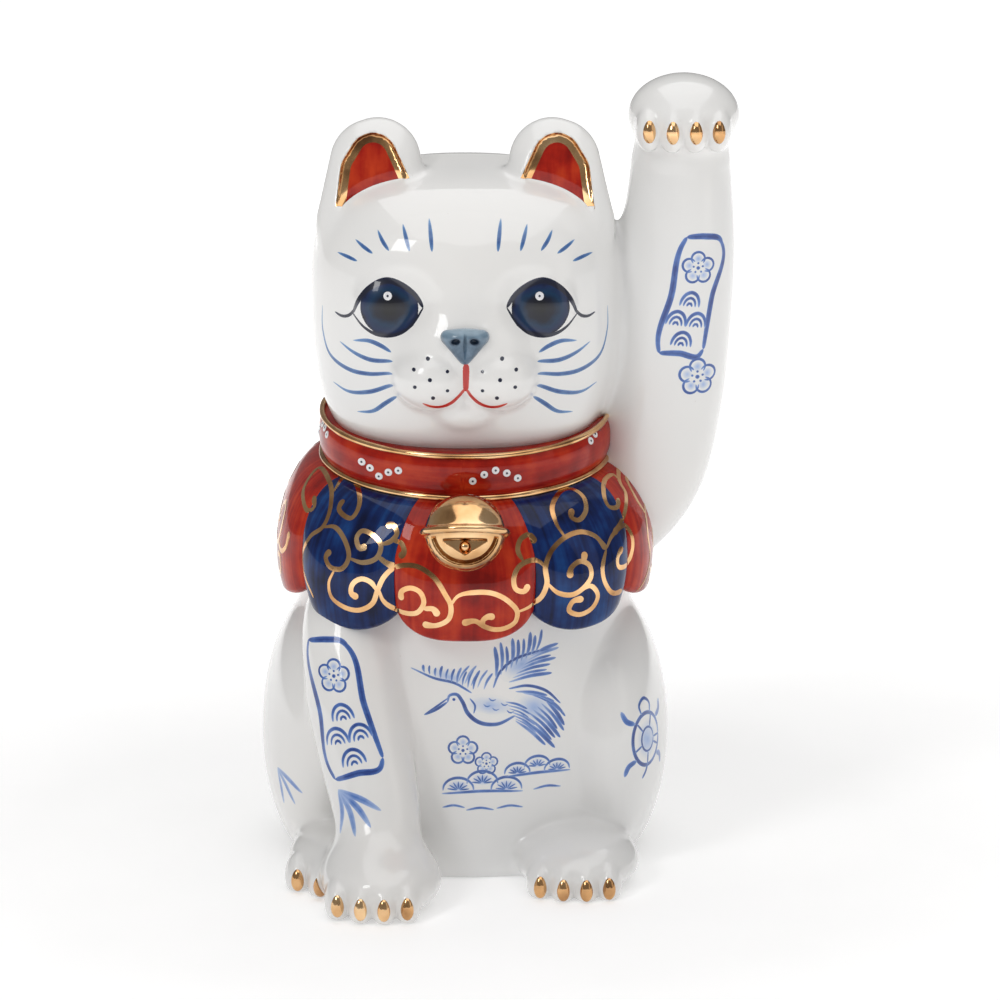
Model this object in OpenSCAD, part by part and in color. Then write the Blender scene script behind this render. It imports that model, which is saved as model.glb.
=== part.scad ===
// Sitting beckoning cat, left arm raised.
// The figure faces -Y and stands on the plane z = 0. Its left side is +X.
// It is slip-cast in separate porcelain pieces that are joined with slip and
// glazed together. Each module below is one of those pieces.

/* [Figure] */
// Height from the table to the top of the raised paw
figure_h = 240; // [236:0.5:246]
// Wall thickness of the hollow castings
wall = 3.5; // [3:0.5:5]
// Width of the slip joint left between neighbouring pieces
slip_gap = 0.1; // [0.05:0.05:0.2]

/* [Head] */
// Width of the head across the cheeks
head_w = 93; // [88:0.5:95]
// Depth of the head without the muzzle
head_d = 84; // [80:0.5:88]
// Height of an ear's tip above the table
ear_top = 226.5; // [224:0.5:229]

/* [Torso] */
// Width of the torso at its widest, without the haunches
torso_w = 108; // [104:1:112]
// Depth of the torso at its widest
torso_d = 97; // [94:1:100]
// Width of the figure across the haunches
haunch_w = 125; // [122:1:130]

/* [Limbs] */
// Radius of the raised arm at the wrist
wrist_r = 15; // [14.5:0.25:16]
// Width of the standing forepaw
forepaw_w = 35; // [32:0.5:36]
// Width of a hind foot
hind_w = 37; // [34:0.5:38]
// Distance between the toes of a paw
toe_pitch = 6.8; // [6.2:0.1:7.2]

/* [Collar and bib] */
// Outer radius of the collar band
collar_r = 44.5; // [44:0.25:46]
// Height of the collar band
collar_h = 13; // [11:0.5:14]
// Forward tilt of the collar in degrees
collar_tilt = 8; // [6:0.5:9]
// Half width of the bib at its fullest
bib_rx = 57.5; // [57:0.5:60]
// Half depth of the bib at its fullest
bib_ry = 54; // [53:0.5:55]
// Diameter of the bell
bell_d = 21; // [20:0.5:22]

/* [Base] */
// Diameter of the unglazed base plate
base_d = 76; // [70:1:78]
// Diameter of the vent hole in the base plate
vent_d = 22; // [16:1:26]

/* [Hidden] */

ball_fn = 22;    // facets round a ball
loft_fn = 40;    // facets round a lofted casting
claw_fn = 12;    // facets round a claw

// Glaze and enamel colours
porcelain = "#eeebe6";
bisque = "#d8cfc0";
red_enamel = "#b3301c";
blue_enamel = "#17306b";
gold = "#c9923e";
nose_blue = "#5c7f96";

// Heights of the main landmarks
neck_z = 127;
collar_z = 130.5;
crown_z = 214;
wrist_z = figure_h - 24;

// Torso sections, from the table up: [z, centre y, half width, half depth]
torso_rx = torso_w / 2;
torso_ry = torso_d / 2;
torso_profile = [
    [0, 4, torso_rx - 8, torso_ry - 6.5],
    [3, 4, torso_rx - 5, torso_ry - 4.5],
    [14, 5, torso_rx - 1, torso_ry - 1.5],
    [35, 6, torso_rx, torso_ry],
    [60, 5, torso_rx - 1.5, torso_ry - 0.5],
    [80, 3, torso_rx - 4, torso_ry - 2.5],
    [98, 1, torso_rx - 7, torso_ry - 7],
    [112, 0, torso_rx - 11, torso_ry - 10.5],
    [neck_z - slip_gap, 0, torso_rx - 18, torso_ry - 15]
];

// Head sections, from the neck joint up: [z, centre y, half width, half depth]
head_rx = head_w / 2;
head_ry = head_d / 2;
head_profile = [
    [neck_z, -2, head_rx - 13, head_ry - 9.5],
    [133, -3, head_rx - 8.5, head_ry - 5],
    [141, -3, head_rx - 4, head_ry - 2],
    [152, -2.5, head_rx - 1.2, head_ry - 0.5],
    [167, -2, head_rx, head_ry],
    [182, -2, head_rx - 0.2, head_ry - 0.5],
    [193, -1, head_rx - 1.7, head_ry - 3.5],
    [202, 1.3, head_rx - 5.5, head_ry - 10],
    [208.5, 4.5, head_rx - 13, head_ry - 18.5],
    [212.3, 6.5, head_rx - 24, head_ry - 28],
    [crown_z, 7.5, head_rx - 36, head_ry - 36]
];

// Limb paths: [centre, radius] from the shoulder to the wrist or ankle
arm_path = [
    [[30, 6, 94], wrist_r - 2],
    [[45, 7, 103], wrist_r + 1.5],
    [[55, 6, 118], wrist_r + 3.2],
    [[60, 3, 140], wrist_r + 3.3],
    [[62.3, 0, 162], wrist_r + 3],
    [[64, -2, 187], wrist_r + 2.1],
    [[64.5, -4, wrist_z], wrist_r]
];
leg_path = [
    [[-24, -12, 96], 11],
    [[-35, -28, 80], 15.2],
    [[-33.5, -38, 60], 14.3],
    [[-30.5, -44, 45], 14],
    [[-26.5, -51.5, 27], 13],
    [[-25.5, -56, 15], 12.8]
];

tail_path = [
    [[-9, 50, 9], 8],
    [[0, 54, 12], 9],
    [[7, 56, 20], 8],
    [[9, 55, 28], 6.5]
];

// Paws: [centre, half sizes, sideways shift of the toes]
raised_paw = [[65, -9, figure_h - 11], [wrist_r + 1.5, 19, 11], -0.7];
forepaw = [[-24.5, -64, 8], [forepaw_w / 2, 20, 10.5], -2.5];
left_hind = [[33.8, -39, 7], [hind_w / 2, 23, 9.5], -1.3];
right_hind = [[-34.5, -36, 7], [hind_w / 2, 22, 9.5], -4.5];
toes = 4;
toe_half = [4.4, 6.5, 6.4];     // half sizes of a toe
claw_half = [1.6, 1.5, 3.3];    // half sizes of a claw

haunch_half = [21, 40, 37];
haunch_at = [haunch_w / 2 - haunch_half.x, 6, 34];

// Edges of the gores in degrees round from the front: red gores start at even places
gore_edges = [-17.5, 17.5, 60, 120, 162.5, 197.5, 240, 300, 342.5];
crease = 0.045;         // depth of the crease between two gores, as a share of the radius
bib_top = [41, 40];     // half width and half depth of the bib under the collar
bib_roll = 115;         // how far the bib curls over, from level at the collar
bib_square = 2.5;       // superellipse power of the bib's plan
collar_core = 30;       // the collar band reaches in this far, less what the neck fills
piping_r = 1.1;
plate_t = 4;
foot_ring = 5;          // width of the ring that the base plate stands on
recess_t = 2;           // depth of the recess inside that ring
stopper_fit = 0.08;     // radial clearance of the stopper in the vent hole
flange_t = 1.2;
bell_rim = [1.6, 1.6];  // how far the bell's rim stands out, and its height
pea_r = 1.6;
mouth_depth = 5;        // how deep the bell's mouth is cut in from its front

// ---------------------------------------------------------------- helpers

// An ellipsoid; hull() makes it a plain mesh
module blob(c, r, g = 0) {
    translate(c)
        scale([r.x + g, r.y + g, r.z + g])
            hull()
                sphere(1, $fn = ball_fn);
}

// A rounded limb through [centre, radius] stations
module limb(path, g = 0) {
    for (i = [0 : len(path) - 2])
        hull()
            for (s = [path[i], path[i + 1]])
                translate(s[0])
                    sphere(s[1] + g, $fn = ball_fn);
}

// A casting through [z, centre y, half width, half depth] sections
module loft(profile, g = 0) {
    for (i = [0 : len(profile) - 2])
        hull()
            for (s = [profile[i], profile[i + 1]])
                translate([0, s[1], s[0]])
                    scale([s[2] + g, s[3] + g, 1])
                        cylinder(r = 1, h = 0.01, $fn = loft_fn);
}

// Everything above the table
module above_table() {
    intersection() {
        children();
        translate([-100, -100, 0])
            cube([200, 200, 300]);
    }
}

// Sideways places of a paw's toes from its middle
function toe_places(shift) = [for (i = [0 : toes - 1]) shift + (i - (toes - 1) / 2) * toe_pitch];

// How far forward of a paw's middle its front lies at x
function paw_front(half, x) = half.y * sqrt(max(0.2, 1 - pow(x / (half.x + 3), 2)));

// A paw with its toes in front
module paw(p, g = 0) {
    blob(p[0], p[1], g);
    for (x = toe_places(p[2]))
        blob([p[0].x + x, p[0].y - paw_front(p[1], x) + toe_half.y - 1, p[0].z - 3.4], toe_half, g);
}

// Gilded claws on the fronts of the outer toes, counted from the cat's right
module claws(p, count = toes) {
    for (i = [0 : count - 1])
        let (x = toe_places(p[2])[i])
        translate([p[0].x + x, p[0].y - paw_front(p[1], x) - 0.5, p[0].z - 3.4])
            scale(claw_half)
                hull()
                    sphere(1, $fn = claw_fn);
}

module collar_frame() {
    translate([0, 0, collar_z])
        rotate([collar_tilt, 0, 0])
            children();
}

// ---------------------------------------------- outer shapes of the castings

module torso_solid(g = 0) {
    loft(torso_profile, g);
    for (side = [-1, 1])
        blob([side * haunch_at.x, haunch_at.y, haunch_at.z], haunch_half, g);
}

module head_solid(g = 0) {
    loft(head_profile, g);
}

module muzzle_solid(g = 0) {
    blob([0, -36, 162], [16, 15.5, 12.5], g);
    for (side = [-1, 1])
        blob([side * 8.5, -41, 154.5], [11.5, 11, 9.5], g);
    blob([0, -38, 144], [10, 8, 6], g);
}

module nose_solid(g = 0) {
    hull() {
        for (side = [-1, 1])
            translate([side * 4.9, -50.5, 168])
                sphere(2.2 + g, $fn = ball_fn);
        translate([0, -51.5, 162])
            sphere(2 + g, $fn = ball_fn);
    }
}

module ear_solid() {
    hull() {
        for (x = [27.2, 30.4])
            translate([x, -2, ear_top - 9])
                scale([1, 0.75, 1])
                    sphere(9, $fn = ball_fn);
        translate([34.8, -8, 202])
            scale([1, 0.9, 1])
                sphere(9, $fn = ball_fn);
        translate([19, -8, 202])
            scale([1, 0.9, 1])
                sphere(9, $fn = ball_fn);
    }
}

// Scooped front of the ear
module ear_scoop() {
    hull() {
        translate([27.3, -10, ear_top - 10])
            sphere(6, $fn = ball_fn);
        translate([33, -17.5, 198])
            sphere(6, $fn = ball_fn);
        translate([20.5, -17.5, 204])
            sphere(6, $fn = ball_fn);
    }
}

// Height of the bib's hem at angle a from the front, lowest in the middle of a lobe
function hem_z(a, lobe) = 91.5 - 7.5 * lobe - 6 * pow(cos(a), 2);

// Superellipse in plan
function squared(v) = sign(v) * pow(abs(v), 2 / bib_square);

// Outer surface of the bib: angle a from the front, t from 0 at the collar to 1 at the hem,
// lobe from 0 on a crease to 1 along the middle of a gore
function bib_point(a, t, lobe) =
    let (
        roll = bib_roll * t,
        puff = 1 - crease * (1 - lobe) * sin(min(roll, 90)),
        rx = (bib_top.x + (bib_rx - bib_top.x) * sin(roll)) * puff,
        ry = (bib_top.y + (bib_ry - bib_top.y) * sin(roll)) * puff,
        square = min(1, 1.6 * t),
        x = rx * (square * squared(sin(a)) + (1 - square) * sin(a)),
        y = -ry * (square * squared(cos(a)) + (1 - square) * cos(a)),
        top = collar_z - collar_h / 2 - 0.5 + sin(collar_tilt) * y,
        z = top + (hem_z(a, lobe) - top) * (1 - cos(roll)) / (1 - cos(bib_roll))
    )
    [x, y, z];

// One gore between two angles, from its outer surface in to a core that the torso fills
module gore(from, to) {
    across = 8;
    down = 7;
    core = 0.6;
    seam = 0.1;
    cols = [
        for (i = [0 : across])
            let (u = 2 * i / across - 1)
                [(from + to) / 2 + u * ((to - from) / 2 - seam), cos(90 * u)]
    ];
    strips = [
        for (c = cols)
            let (p = bib_point(c[0], 1, c[1]), q = bib_point(c[0], 0, c[1]))
                concat(
                    [for (j = [0 : down]) bib_point(c[0], j / down, c[1])],
                    [[p.x * 0.95, p.y * 0.95, p.z - 1.2],
                     [p.x * core, p.y * core, p.z + 6],
                     [q.x * core, q.y * core, q.z]]
                )
    ];
    m = down + 4;
    points = [for (s = strips) for (p = s) p];
    skin = [
        for (i = [0 : across - 1])
            for (j = [0 : m - 1])
                let (k = (j + 1) % m)
                    for (f = [[i * m + j, i * m + m + j, i * m + m + k],
                              [i * m + j, i * m + m + k, i * m + k]])
                        f
    ];
    // The end faces are cut into triangles from the crown
    start = [for (j = [0 : m - 3]) [m - 1, j, j + 1]];
    finish = [for (j = [0 : m - 3]) [across * m + m - 1, across * m + j + 1, across * m + j]];
    polyhedron(points, concat(skin, start, finish), convexity = 6);
}

module gores_at(first) {
    difference() {
        for (i = [first : 2 : len(gore_edges) - 2])
            gore(gore_edges[i], gore_edges[i + 1]);
        torso_solid(slip_gap);
        head_solid(slip_gap);
        limb(arm_path, slip_gap);
        limb(leg_path, slip_gap);
        collar_space();
        bell_place()
            bell_solid(3 * slip_gap, 48);
    }
}

// The ring of space that the collar and its piping fill
module collar_space() {
    collar_frame()
        cylinder(r = collar_r + slip_gap, h = collar_h + 2 * (piping_r + slip_gap), center = true, $fn = 64);
}

// ------------------------------------------------------ porcelain castings

// Hollow body with its haunches, open at the neck and round the base plate
module torso() {
    color(porcelain)
        difference() {
            above_table()
                torso_solid();
            translate([0, 0, plate_t + slip_gap])
                loft(torso_profile, -wall);
            translate([0, 4, -1])
                cylinder(d = base_d + 4 * slip_gap, h = plate_t + 2, $fn = 72);
            limb(arm_path, -wall);
            limb(leg_path, -wall);
        }
}

// Hollow head, open at the neck
module head() {
    color(porcelain)
        difference() {
            head_solid();
            intersection() {
                loft(head_profile, -wall);
                translate([-100, -100, neck_z - 1])
                    cube([200, 200, crown_z - neck_z - wall]);
            }
            limb(arm_path, slip_gap);
        }
}

module muzzle() {
    color(porcelain)
        difference() {
            muzzle_solid();
            head_solid(slip_gap);
            nose_solid(slip_gap);
        }
}

module nose() {
    color(nose_blue)
        nose_solid();
}

module ear(side) {
    color(porcelain)
        scale([side, 1, 1])
            difference() {
                ear_solid();
                ear_scoop();
                head_solid(slip_gap);
            }
}

// Hollow arm, open where it joins the torso
module raised_arm() {
    color(porcelain)
        difference() {
            limb(arm_path);
            limb(arm_path, -wall);
            torso_solid(slip_gap);
            collar_space();
        }
}

module raised_paw() {
    color(porcelain)
        difference() {
            paw(raised_paw);
            limb(arm_path, slip_gap);
        }
}

module paw_claws(p) {
    color(gold)
        difference() {
            claws(p);
            paw(p, slip_gap);
        }
}

// Hollow standing leg, open where it joins the torso
module foreleg() {
    color(porcelain)
        difference() {
            limb(leg_path);
            limb(leg_path, -wall);
            torso_solid(slip_gap);
        }
}

module forepaw() {
    color(porcelain)
        difference() {
            above_table()
                paw(forepaw);
            limb(leg_path, slip_gap);
            torso_solid(slip_gap);
        }
}

module hind_foot(p) {
    color(porcelain)
        difference() {
            above_table()
                paw(p);
            torso_solid(slip_gap);
            paw(forepaw, 2 * slip_gap);
            limb(leg_path, slip_gap);
        }
}

// The inner toes of the right hind foot hide behind the forepaw and have no claws
module right_hind_claws() {
    color(gold)
        difference() {
            claws(right_hind, 2);
            paw(right_hind, slip_gap);
            paw(forepaw, slip_gap);
        }
}

// Short bobtail, pressed on behind
module tail() {
    color(porcelain)
        difference() {
            above_table()
                limb(tail_path);
            torso_solid(slip_gap);
        }
}

// ------------------------------------------------------------ dress and bell

// Outline of the collar band: a rounded face with a groove for the piping at each edge
module collar_section() {
    difference() {
        hull() {
            for (y = [-1, 1])
                translate([collar_r - 2.5, y * (collar_h / 2 - 1.5)])
                    circle(r = 1.5, $fn = 16);
            translate([collar_r - 1.2, 0])
                circle(r = 1.2, $fn = 16);
            translate([collar_core, -collar_h / 2])
                square([6, collar_h]);
        }
        for (y = [-1, 1])
            translate([collar_r - 1.2, y * collar_h / 2])
                circle(r = piping_r + 2 * slip_gap, $fn = 14);
    }
}

// The band reaches in to the neck
module collar_band() {
    color(red_enamel)
        difference() {
            collar_frame()
                rotate_extrude($fn = 72)
                    collar_section();
            torso_solid(slip_gap);
            head_solid(slip_gap);
        }
}

module collar_piping(side) {
    color(gold)
        collar_frame()
            translate([0, 0, side * collar_h / 2])
                rotate_extrude($fn = 96)
                    translate([collar_r - 1.2, 0])
                        circle(r = piping_r, $fn = 32);
}

module bib_red_gores() {
    color(red_enamel)
        gores_at(0);
}

module bib_blue_gores() {
    color(blue_enamel)
        gores_at(1);
}

module bell_place() {
    translate([0, -bib_ry - 4.5, 111.4])
        rotate([-19, 0, 0])
            children();
}

// Round bell with a raised rim
module bell_solid(g, fn) {
    sphere(bell_d / 2 + g, $fn = fn);
    cylinder(r = bell_d / 2 + bell_rim[0] + g, h = bell_rim[1] + 2 * g, center = true, $fn = fn);
}

// The bell has a mouth cut into the front of its lower half
module bell() {
    r = bell_d / 2;
    color(gold)
        bell_place()
            difference() {
                bell_solid(0, 64);
                translate([-0.55 * r, -r - 2, -mouth_floor()])
                    cube([1.1 * r, mouth_depth + 2, 0.42 * r]);
            }
}

// How far the lower lip of the mouth lies below the bell's middle
function mouth_floor() = 0.62 * bell_d / 2;

// The pea lies on the lower lip, clear of the mouth's back
module bell_pea() {
    color(gold)
        bell_place()
            translate([0, mouth_depth - bell_d / 2 - pea_r - slip_gap, pea_r + slip_gap - mouth_floor()])
                sphere(pea_r, $fn = 32);
}

// ---------------------------------------------------------------------- base

// Unglazed plate that closes the torso, standing on its own ring
module base_plate() {
    color(bisque)
        translate([0, 4, 0])
            difference() {
                cylinder(d = base_d, h = plate_t, $fn = 96);
                translate([0, 0, -1])
                    cylinder(d = base_d - 2 * foot_ring, h = recess_t + 1, $fn = 96);
                translate([0, 0, -1])
                    cylinder(d = vent_d, h = plate_t + 2, $fn = 96);
            }
}

// Soft stopper pushed up into the vent hole from below
module vent_stopper() {
    color("dimgray")
        translate([0, 4, 0]) {
            translate([0, 0, recess_t - slip_gap - flange_t])
                cylinder(d = vent_d + 5, h = flange_t, $fn = 96);
            translate([0, 0, recess_t - slip_gap - flange_t / 2])
                cylinder(d = vent_d - 2 * stopper_fit, h = plate_t + 2, $fn = 96);
        }
}

torso();
head();
muzzle();
nose();
ear(1);  // left_ear
ear(-1);  // right_ear
raised_arm();
raised_paw();
paw_claws(raised_paw);  // raised_paw_claws
foreleg();
forepaw();
paw_claws(forepaw);  // forepaw_claws
hind_foot(left_hind);  // left_hind_foot
paw_claws(left_hind);  // left_hind_claws
hind_foot(right_hind);  // right_hind_foot
right_hind_claws();
tail();
collar_band();
collar_piping(1);  // collar_upper_piping
collar_piping(-1);  // collar_lower_piping
bib_red_gores();
bib_blue_gores();
bell();
bell_pea();
base_plate();
vent_stopper();
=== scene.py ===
import math

import bpy
import numpy as np
import openvdb
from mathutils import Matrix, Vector
from mathutils.bvhtree import BVHTree


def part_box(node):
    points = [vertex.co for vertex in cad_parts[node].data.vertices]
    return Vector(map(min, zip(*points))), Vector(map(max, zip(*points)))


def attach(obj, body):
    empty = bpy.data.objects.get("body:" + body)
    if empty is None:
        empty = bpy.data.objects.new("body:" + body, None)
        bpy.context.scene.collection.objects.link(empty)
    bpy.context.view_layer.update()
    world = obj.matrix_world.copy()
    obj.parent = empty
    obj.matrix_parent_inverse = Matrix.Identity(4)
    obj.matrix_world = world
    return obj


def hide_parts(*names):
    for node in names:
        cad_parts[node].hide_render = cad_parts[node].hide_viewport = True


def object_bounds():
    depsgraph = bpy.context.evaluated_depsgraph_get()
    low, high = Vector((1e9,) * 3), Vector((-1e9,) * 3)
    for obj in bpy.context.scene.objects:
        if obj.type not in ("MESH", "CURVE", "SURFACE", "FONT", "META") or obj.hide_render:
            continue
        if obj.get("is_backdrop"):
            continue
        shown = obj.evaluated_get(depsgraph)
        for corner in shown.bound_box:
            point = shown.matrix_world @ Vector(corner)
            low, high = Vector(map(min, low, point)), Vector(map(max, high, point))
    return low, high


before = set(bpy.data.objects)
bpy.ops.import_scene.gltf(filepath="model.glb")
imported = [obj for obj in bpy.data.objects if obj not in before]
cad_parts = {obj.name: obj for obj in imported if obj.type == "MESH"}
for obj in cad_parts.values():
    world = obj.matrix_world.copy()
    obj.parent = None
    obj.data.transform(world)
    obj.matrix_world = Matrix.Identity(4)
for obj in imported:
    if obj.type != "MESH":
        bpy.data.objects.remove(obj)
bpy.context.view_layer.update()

# Shapes are worked out in millimetres in the CAD frame: the cat faces -Y and its left is +X.
MM = 0.001
VOXEL = 0.9          # sampling of the porcelain body
FINE_VOXEL = 0.3     # sampling of the nose and the bell
PEA_VOXEL = 0.25     # sampling of the bell's pea
BLOCK = 8            # voxels along one side of a block, the unit in which space is searched
FAR = 25.0           # field value where a part is too far away to matter, and the space round
                     # a part's box in which its field is worked out


# ---------- frame boxes

class Box:
    """A CAD node's box in millimetres."""

    def __init__(self, node):
        lo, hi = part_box(node)
        self.lo = np.array(lo) / MM
        self.hi = np.array(hi) / MM
        self.mid = (self.lo + self.hi) / 2
        self.half = (self.hi - self.lo) / 2


BOX = {name: Box(name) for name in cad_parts}


# ---------- distance fields

def length(v):
    return np.sqrt((v * v).sum(-1))


def unit(v):
    return v / np.maximum(length(v), 1e-9)[..., None]


def join(a, b, k):
    """Union of two fields with a soft fillet."""
    h = np.maximum(k - np.abs(a - b), 0) / k
    return np.minimum(a, b) - h ** 3 * k / 6


def carve(a, b, k):
    """Field a with b taken away and a soft edge."""
    return -join(-a, b, k)


def ellipsoid(p, centre, half):
    q = (p - centre) / half
    k0 = length(q)
    return k0 * (k0 - 1) / np.maximum(length(q / half), 1e-6)


def superellipse(x, y, power):
    """Size of the superellipse through a point, which is 1 on the unit one."""
    return (np.abs(x) ** power + np.abs(y) ** power) ** (1 / power)


class Smooth:
    """A smooth curve through rows of values, with its own parameter."""

    def __init__(self, knots, rows):
        self.knots = np.array(knots, float)
        rows = np.array(rows, float)
        slope = np.gradient(rows, self.knots, axis=0)
        step = np.diff(self.knots)[:, None]
        a, b = rows[:-1], rows[1:]
        m, n = slope[:-1] * step, slope[1:] * step
        self.cubic = np.stack([a, m, 3 * (b - a) - 2 * m - n, 2 * (a - b) + m + n], 1)

    def at(self, t):
        t = np.clip(t, self.knots[0], self.knots[-1])
        i = np.clip(np.searchsorted(self.knots, t, "right") - 1, 0, len(self.knots) - 2)
        u = ((t - self.knots[i]) / (self.knots[i + 1] - self.knots[i]))[:, None]
        c = self.cubic[i]
        value = c[:, 0] + u * (c[:, 1] + u * (c[:, 2] + u * c[:, 3]))
        first = c[:, 1] + u * (2 * c[:, 2] + 3 * u * c[:, 3])
        return value, first, 2 * c[:, 2] + 6 * u * c[:, 3]


def limb(stations):
    """Field of a limb through (x, y, z, radius) stations."""
    count = len(stations)
    curve = Smooth(range(count), stations)
    guesses = np.linspace(0, count - 1, 8 * count)
    places = curve.at(guesses)[0]

    def field(p):
        best = np.full(len(p), np.inf)
        t = np.zeros(len(p))
        for guess, place in zip(guesses, places):
            d = length(p - place[:3]) - place[3]
            closer = d < best
            best[closer] = d[closer]
            t[closer] = guess
        for _ in range(3):
            value, first, second = curve.at(t)
            away = value[:, :3] - p
            bend = (first[:, :3] ** 2).sum(1) + (away * second[:, :3]).sum(1)
            step = (away * first[:, :3]).sum(1) / np.maximum(bend, 1.0)
            t = np.clip(t - np.clip(step, -0.3, 0.3), 0, count - 1)
        value = curve.at(t)[0]
        return length(p - value[:, :3]) - value[:, 3]

    return field


def loft(stations, power):
    """Field of a body through (z, centre y, half width, half depth) stations."""
    curve = Smooth([s[0] for s in stations], [s[1:] for s in stations])

    def field(p):
        middle, rx, ry = curve.at(p[:, 2])[0].T
        size = superellipse(p[:, 0] / rx, (p[:, 1] - middle) / ry, power)
        return (size - 1) * np.minimum(rx, ry)

    return field


def nearby(node, field, reach=FAR):
    """The field close to a CAD node's box, and FAR elsewhere."""
    box = BOX[node]

    def bounded(p):
        out = np.full(len(p), FAR)
        near = ((p > box.lo - reach) & (p < box.hi + reach)).all(1)
        out[near] = field(p[near])
        return out

    return bounded


# ---------- porcelain body

HEAD = BOX["head"]
TORSO = BOX["torso"]
EYE = np.array([22.0, -40.0, 175.2])
MIRROR = np.array([-1.0, 1.0, 1.0])
EQUATOR = 0.517          # the head's widest level, as a share of its height
CHIN_REACH = 1.29        # the chin's curve runs on by this much, below the head's lower edge
CROWN_DROP = 0.22        # how steeply the crown falls to the forehead
HEAD_PLAN = 2.3          # superellipse power of the head in plan
CROWN_POWER = 3.0        # and of its profile above and below the equator
CHIN_POWER = 2.5


def egg(p):
    """Head without relief: broad on top, sloping to the forehead, and longer towards the chin."""
    equator = HEAD.lo[2] + EQUATOR * (HEAD.hi[2] - HEAD.lo[2])
    crown = HEAD.hi[2] - equator
    chin = CHIN_REACH * (equator - HEAD.lo[2])
    q = p - (0, HEAD.mid[1], equator)
    high = np.clip(q[:, 2] / crown, 0, 1.2)
    q[:, 2] += CROWN_DROP * np.clip(6 - p[:, 1], 0, 40) * high ** 2
    across = superellipse(q[:, 0] / HEAD.half[0], q[:, 1] / HEAD.half[1], HEAD_PLAN)
    up = q[:, 2] > 0
    power = np.where(up, CROWN_POWER, CHIN_POWER)
    size = superellipse(across, q[:, 2] / np.where(up, crown, chin), power)
    return length(q) * (1 - 1 / np.maximum(size, 1e-3))


def head_field(p):
    """The egg with eye sockets, eyeballs and the bridge of the nose."""
    f = egg(p)
    for side in (1, -1):
        q = p * (side, 1, 1)
        f = carve(f, ellipsoid(q, EYE + (0, -5.5, 0), (12.5, 6.5, 10.5)), 8)
        f = join(f, ellipsoid(q, EYE + (0, 5.6, 0), (10.5, 6.6, 9.4)), 3)
    return join(f, ellipsoid(p, (0, -37, 175), (8, 7, 15)), 12)


def muzzle_field(p):
    """The muzzle with its two whisker pads and the chin."""
    f = ellipsoid(p, (0, -35.3, 163), (19.5, 15.3, 13.5))
    for side in (1, -1):
        f = join(f, ellipsoid(p * (side, 1, 1), (9.2, -41, 154.3), (12, 11.4, 9.8)), 3)
    return join(f, ellipsoid(p, (0, -38.5, 144.5), (9, 8, 6)), 4)


def outline_gap(x, z, corners):
    """Distance in the XZ plane outside a convex outline, with 0 inside it."""
    inside = np.ones(len(x), bool)
    gap = np.full(len(x), np.inf)
    for (ax, az), (bx, bz) in zip(corners, corners[1:] + corners[:1]):
        ex, ez = bx - ax, bz - az
        t = np.clip(((x - ax) * ex + (z - az) * ez) / (ex * ex + ez * ez), 0, 1)
        gap = np.minimum(gap, np.hypot(x - ax - t * ex, z - az - t * ez))
        inside &= (ex * (z - az) - ez * (x - ax)) >= 0
    return np.where(inside, 0, gap)


EAR_TOP = BOX["left_ear"].hi[2]
EAR_OUTER = [(22.5, 196), (31.2, 196), (27.4, EAR_TOP - 13.6), (26, EAR_TOP - 13.2)]
EAR_INNER = [(19.5, 199), (32.2, 193), (29.8, 211), (27.3, EAR_TOP - 11.4)]
EAR_ROUND = 13.0         # how far the ear reaches round its outline
EAR_HOLLOW = 7.0         # how far the hollow reaches round its own
EAR_RIM = 2.7            # width of the gilt band inside the hollow
EAR_FOOT = 204           # level from which the ear's slopes are measured
EAR_THINNESS = 1.62


def ear_hollow(p):
    """Field of the space scooped out of the left ear's front."""
    x, y, z = p.T
    gap = outline_gap(x, z, EAR_INNER) - EAR_HOLLOW
    back = y - (-16.2 + 0.46 * (z - EAR_FOOT) - 0.05 * np.clip(36 - x, 0, 20))
    return -join(-gap, -back, 2.5)


def ear_field(p):
    x, y, z = p.T
    gap = outline_gap(x, z, EAR_OUTER)
    lean = -11 + 0.3 * (z - EAR_FOOT)
    solid = np.hypot(gap, (y - lean) * EAR_THINNESS) - EAR_ROUND
    return carve(solid, ear_hollow(p), 1.6)


TOE_SPACING = 6.8
TOE_HALF = (4.0, 7.1, 6.6)
CLAW_HALF = (1.85, 3.5)


def toe_places(shift):
    """Each toe's place across the paw."""
    return [shift + (i - 1.5) * TOE_SPACING for i in range(4)]


def paw_front(half, x):
    """How far a paw's front edge lies before its centre, at x across it."""
    return half[1] * math.sqrt(max(0.2, 1 - (x / (half[0] + 3)) ** 2))


def paw(centre, half, shift):
    """Field of a paw with four toes in front."""
    centre = np.array(centre, float)

    def field(p):
        f = ellipsoid(p, centre, half)
        for x in toe_places(shift):
            toe = centre + (x, 4.9 - paw_front(half, x), -3.1)
            f = join(f, ellipsoid(p, toe, TOE_HALF), 1.8)
        return f

    return field


# Centre, half sizes and the toes' shift sideways of each paw
PAWS = {
    "raised_paw": ((65, -9, 227.7), (16.5, 19, 12.3), -0.7),
    "forepaw": ((-24.5, -64, 8), (17.5, 20, 10.5), -2.5),
    "left_hind_foot": ((33.8, -39, 7), (18.5, 23, 9.5), -1.3),
    "right_hind_foot": ((-34.5, -36, 7), (18.5, 22, 9.5), -5.2),
}

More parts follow.
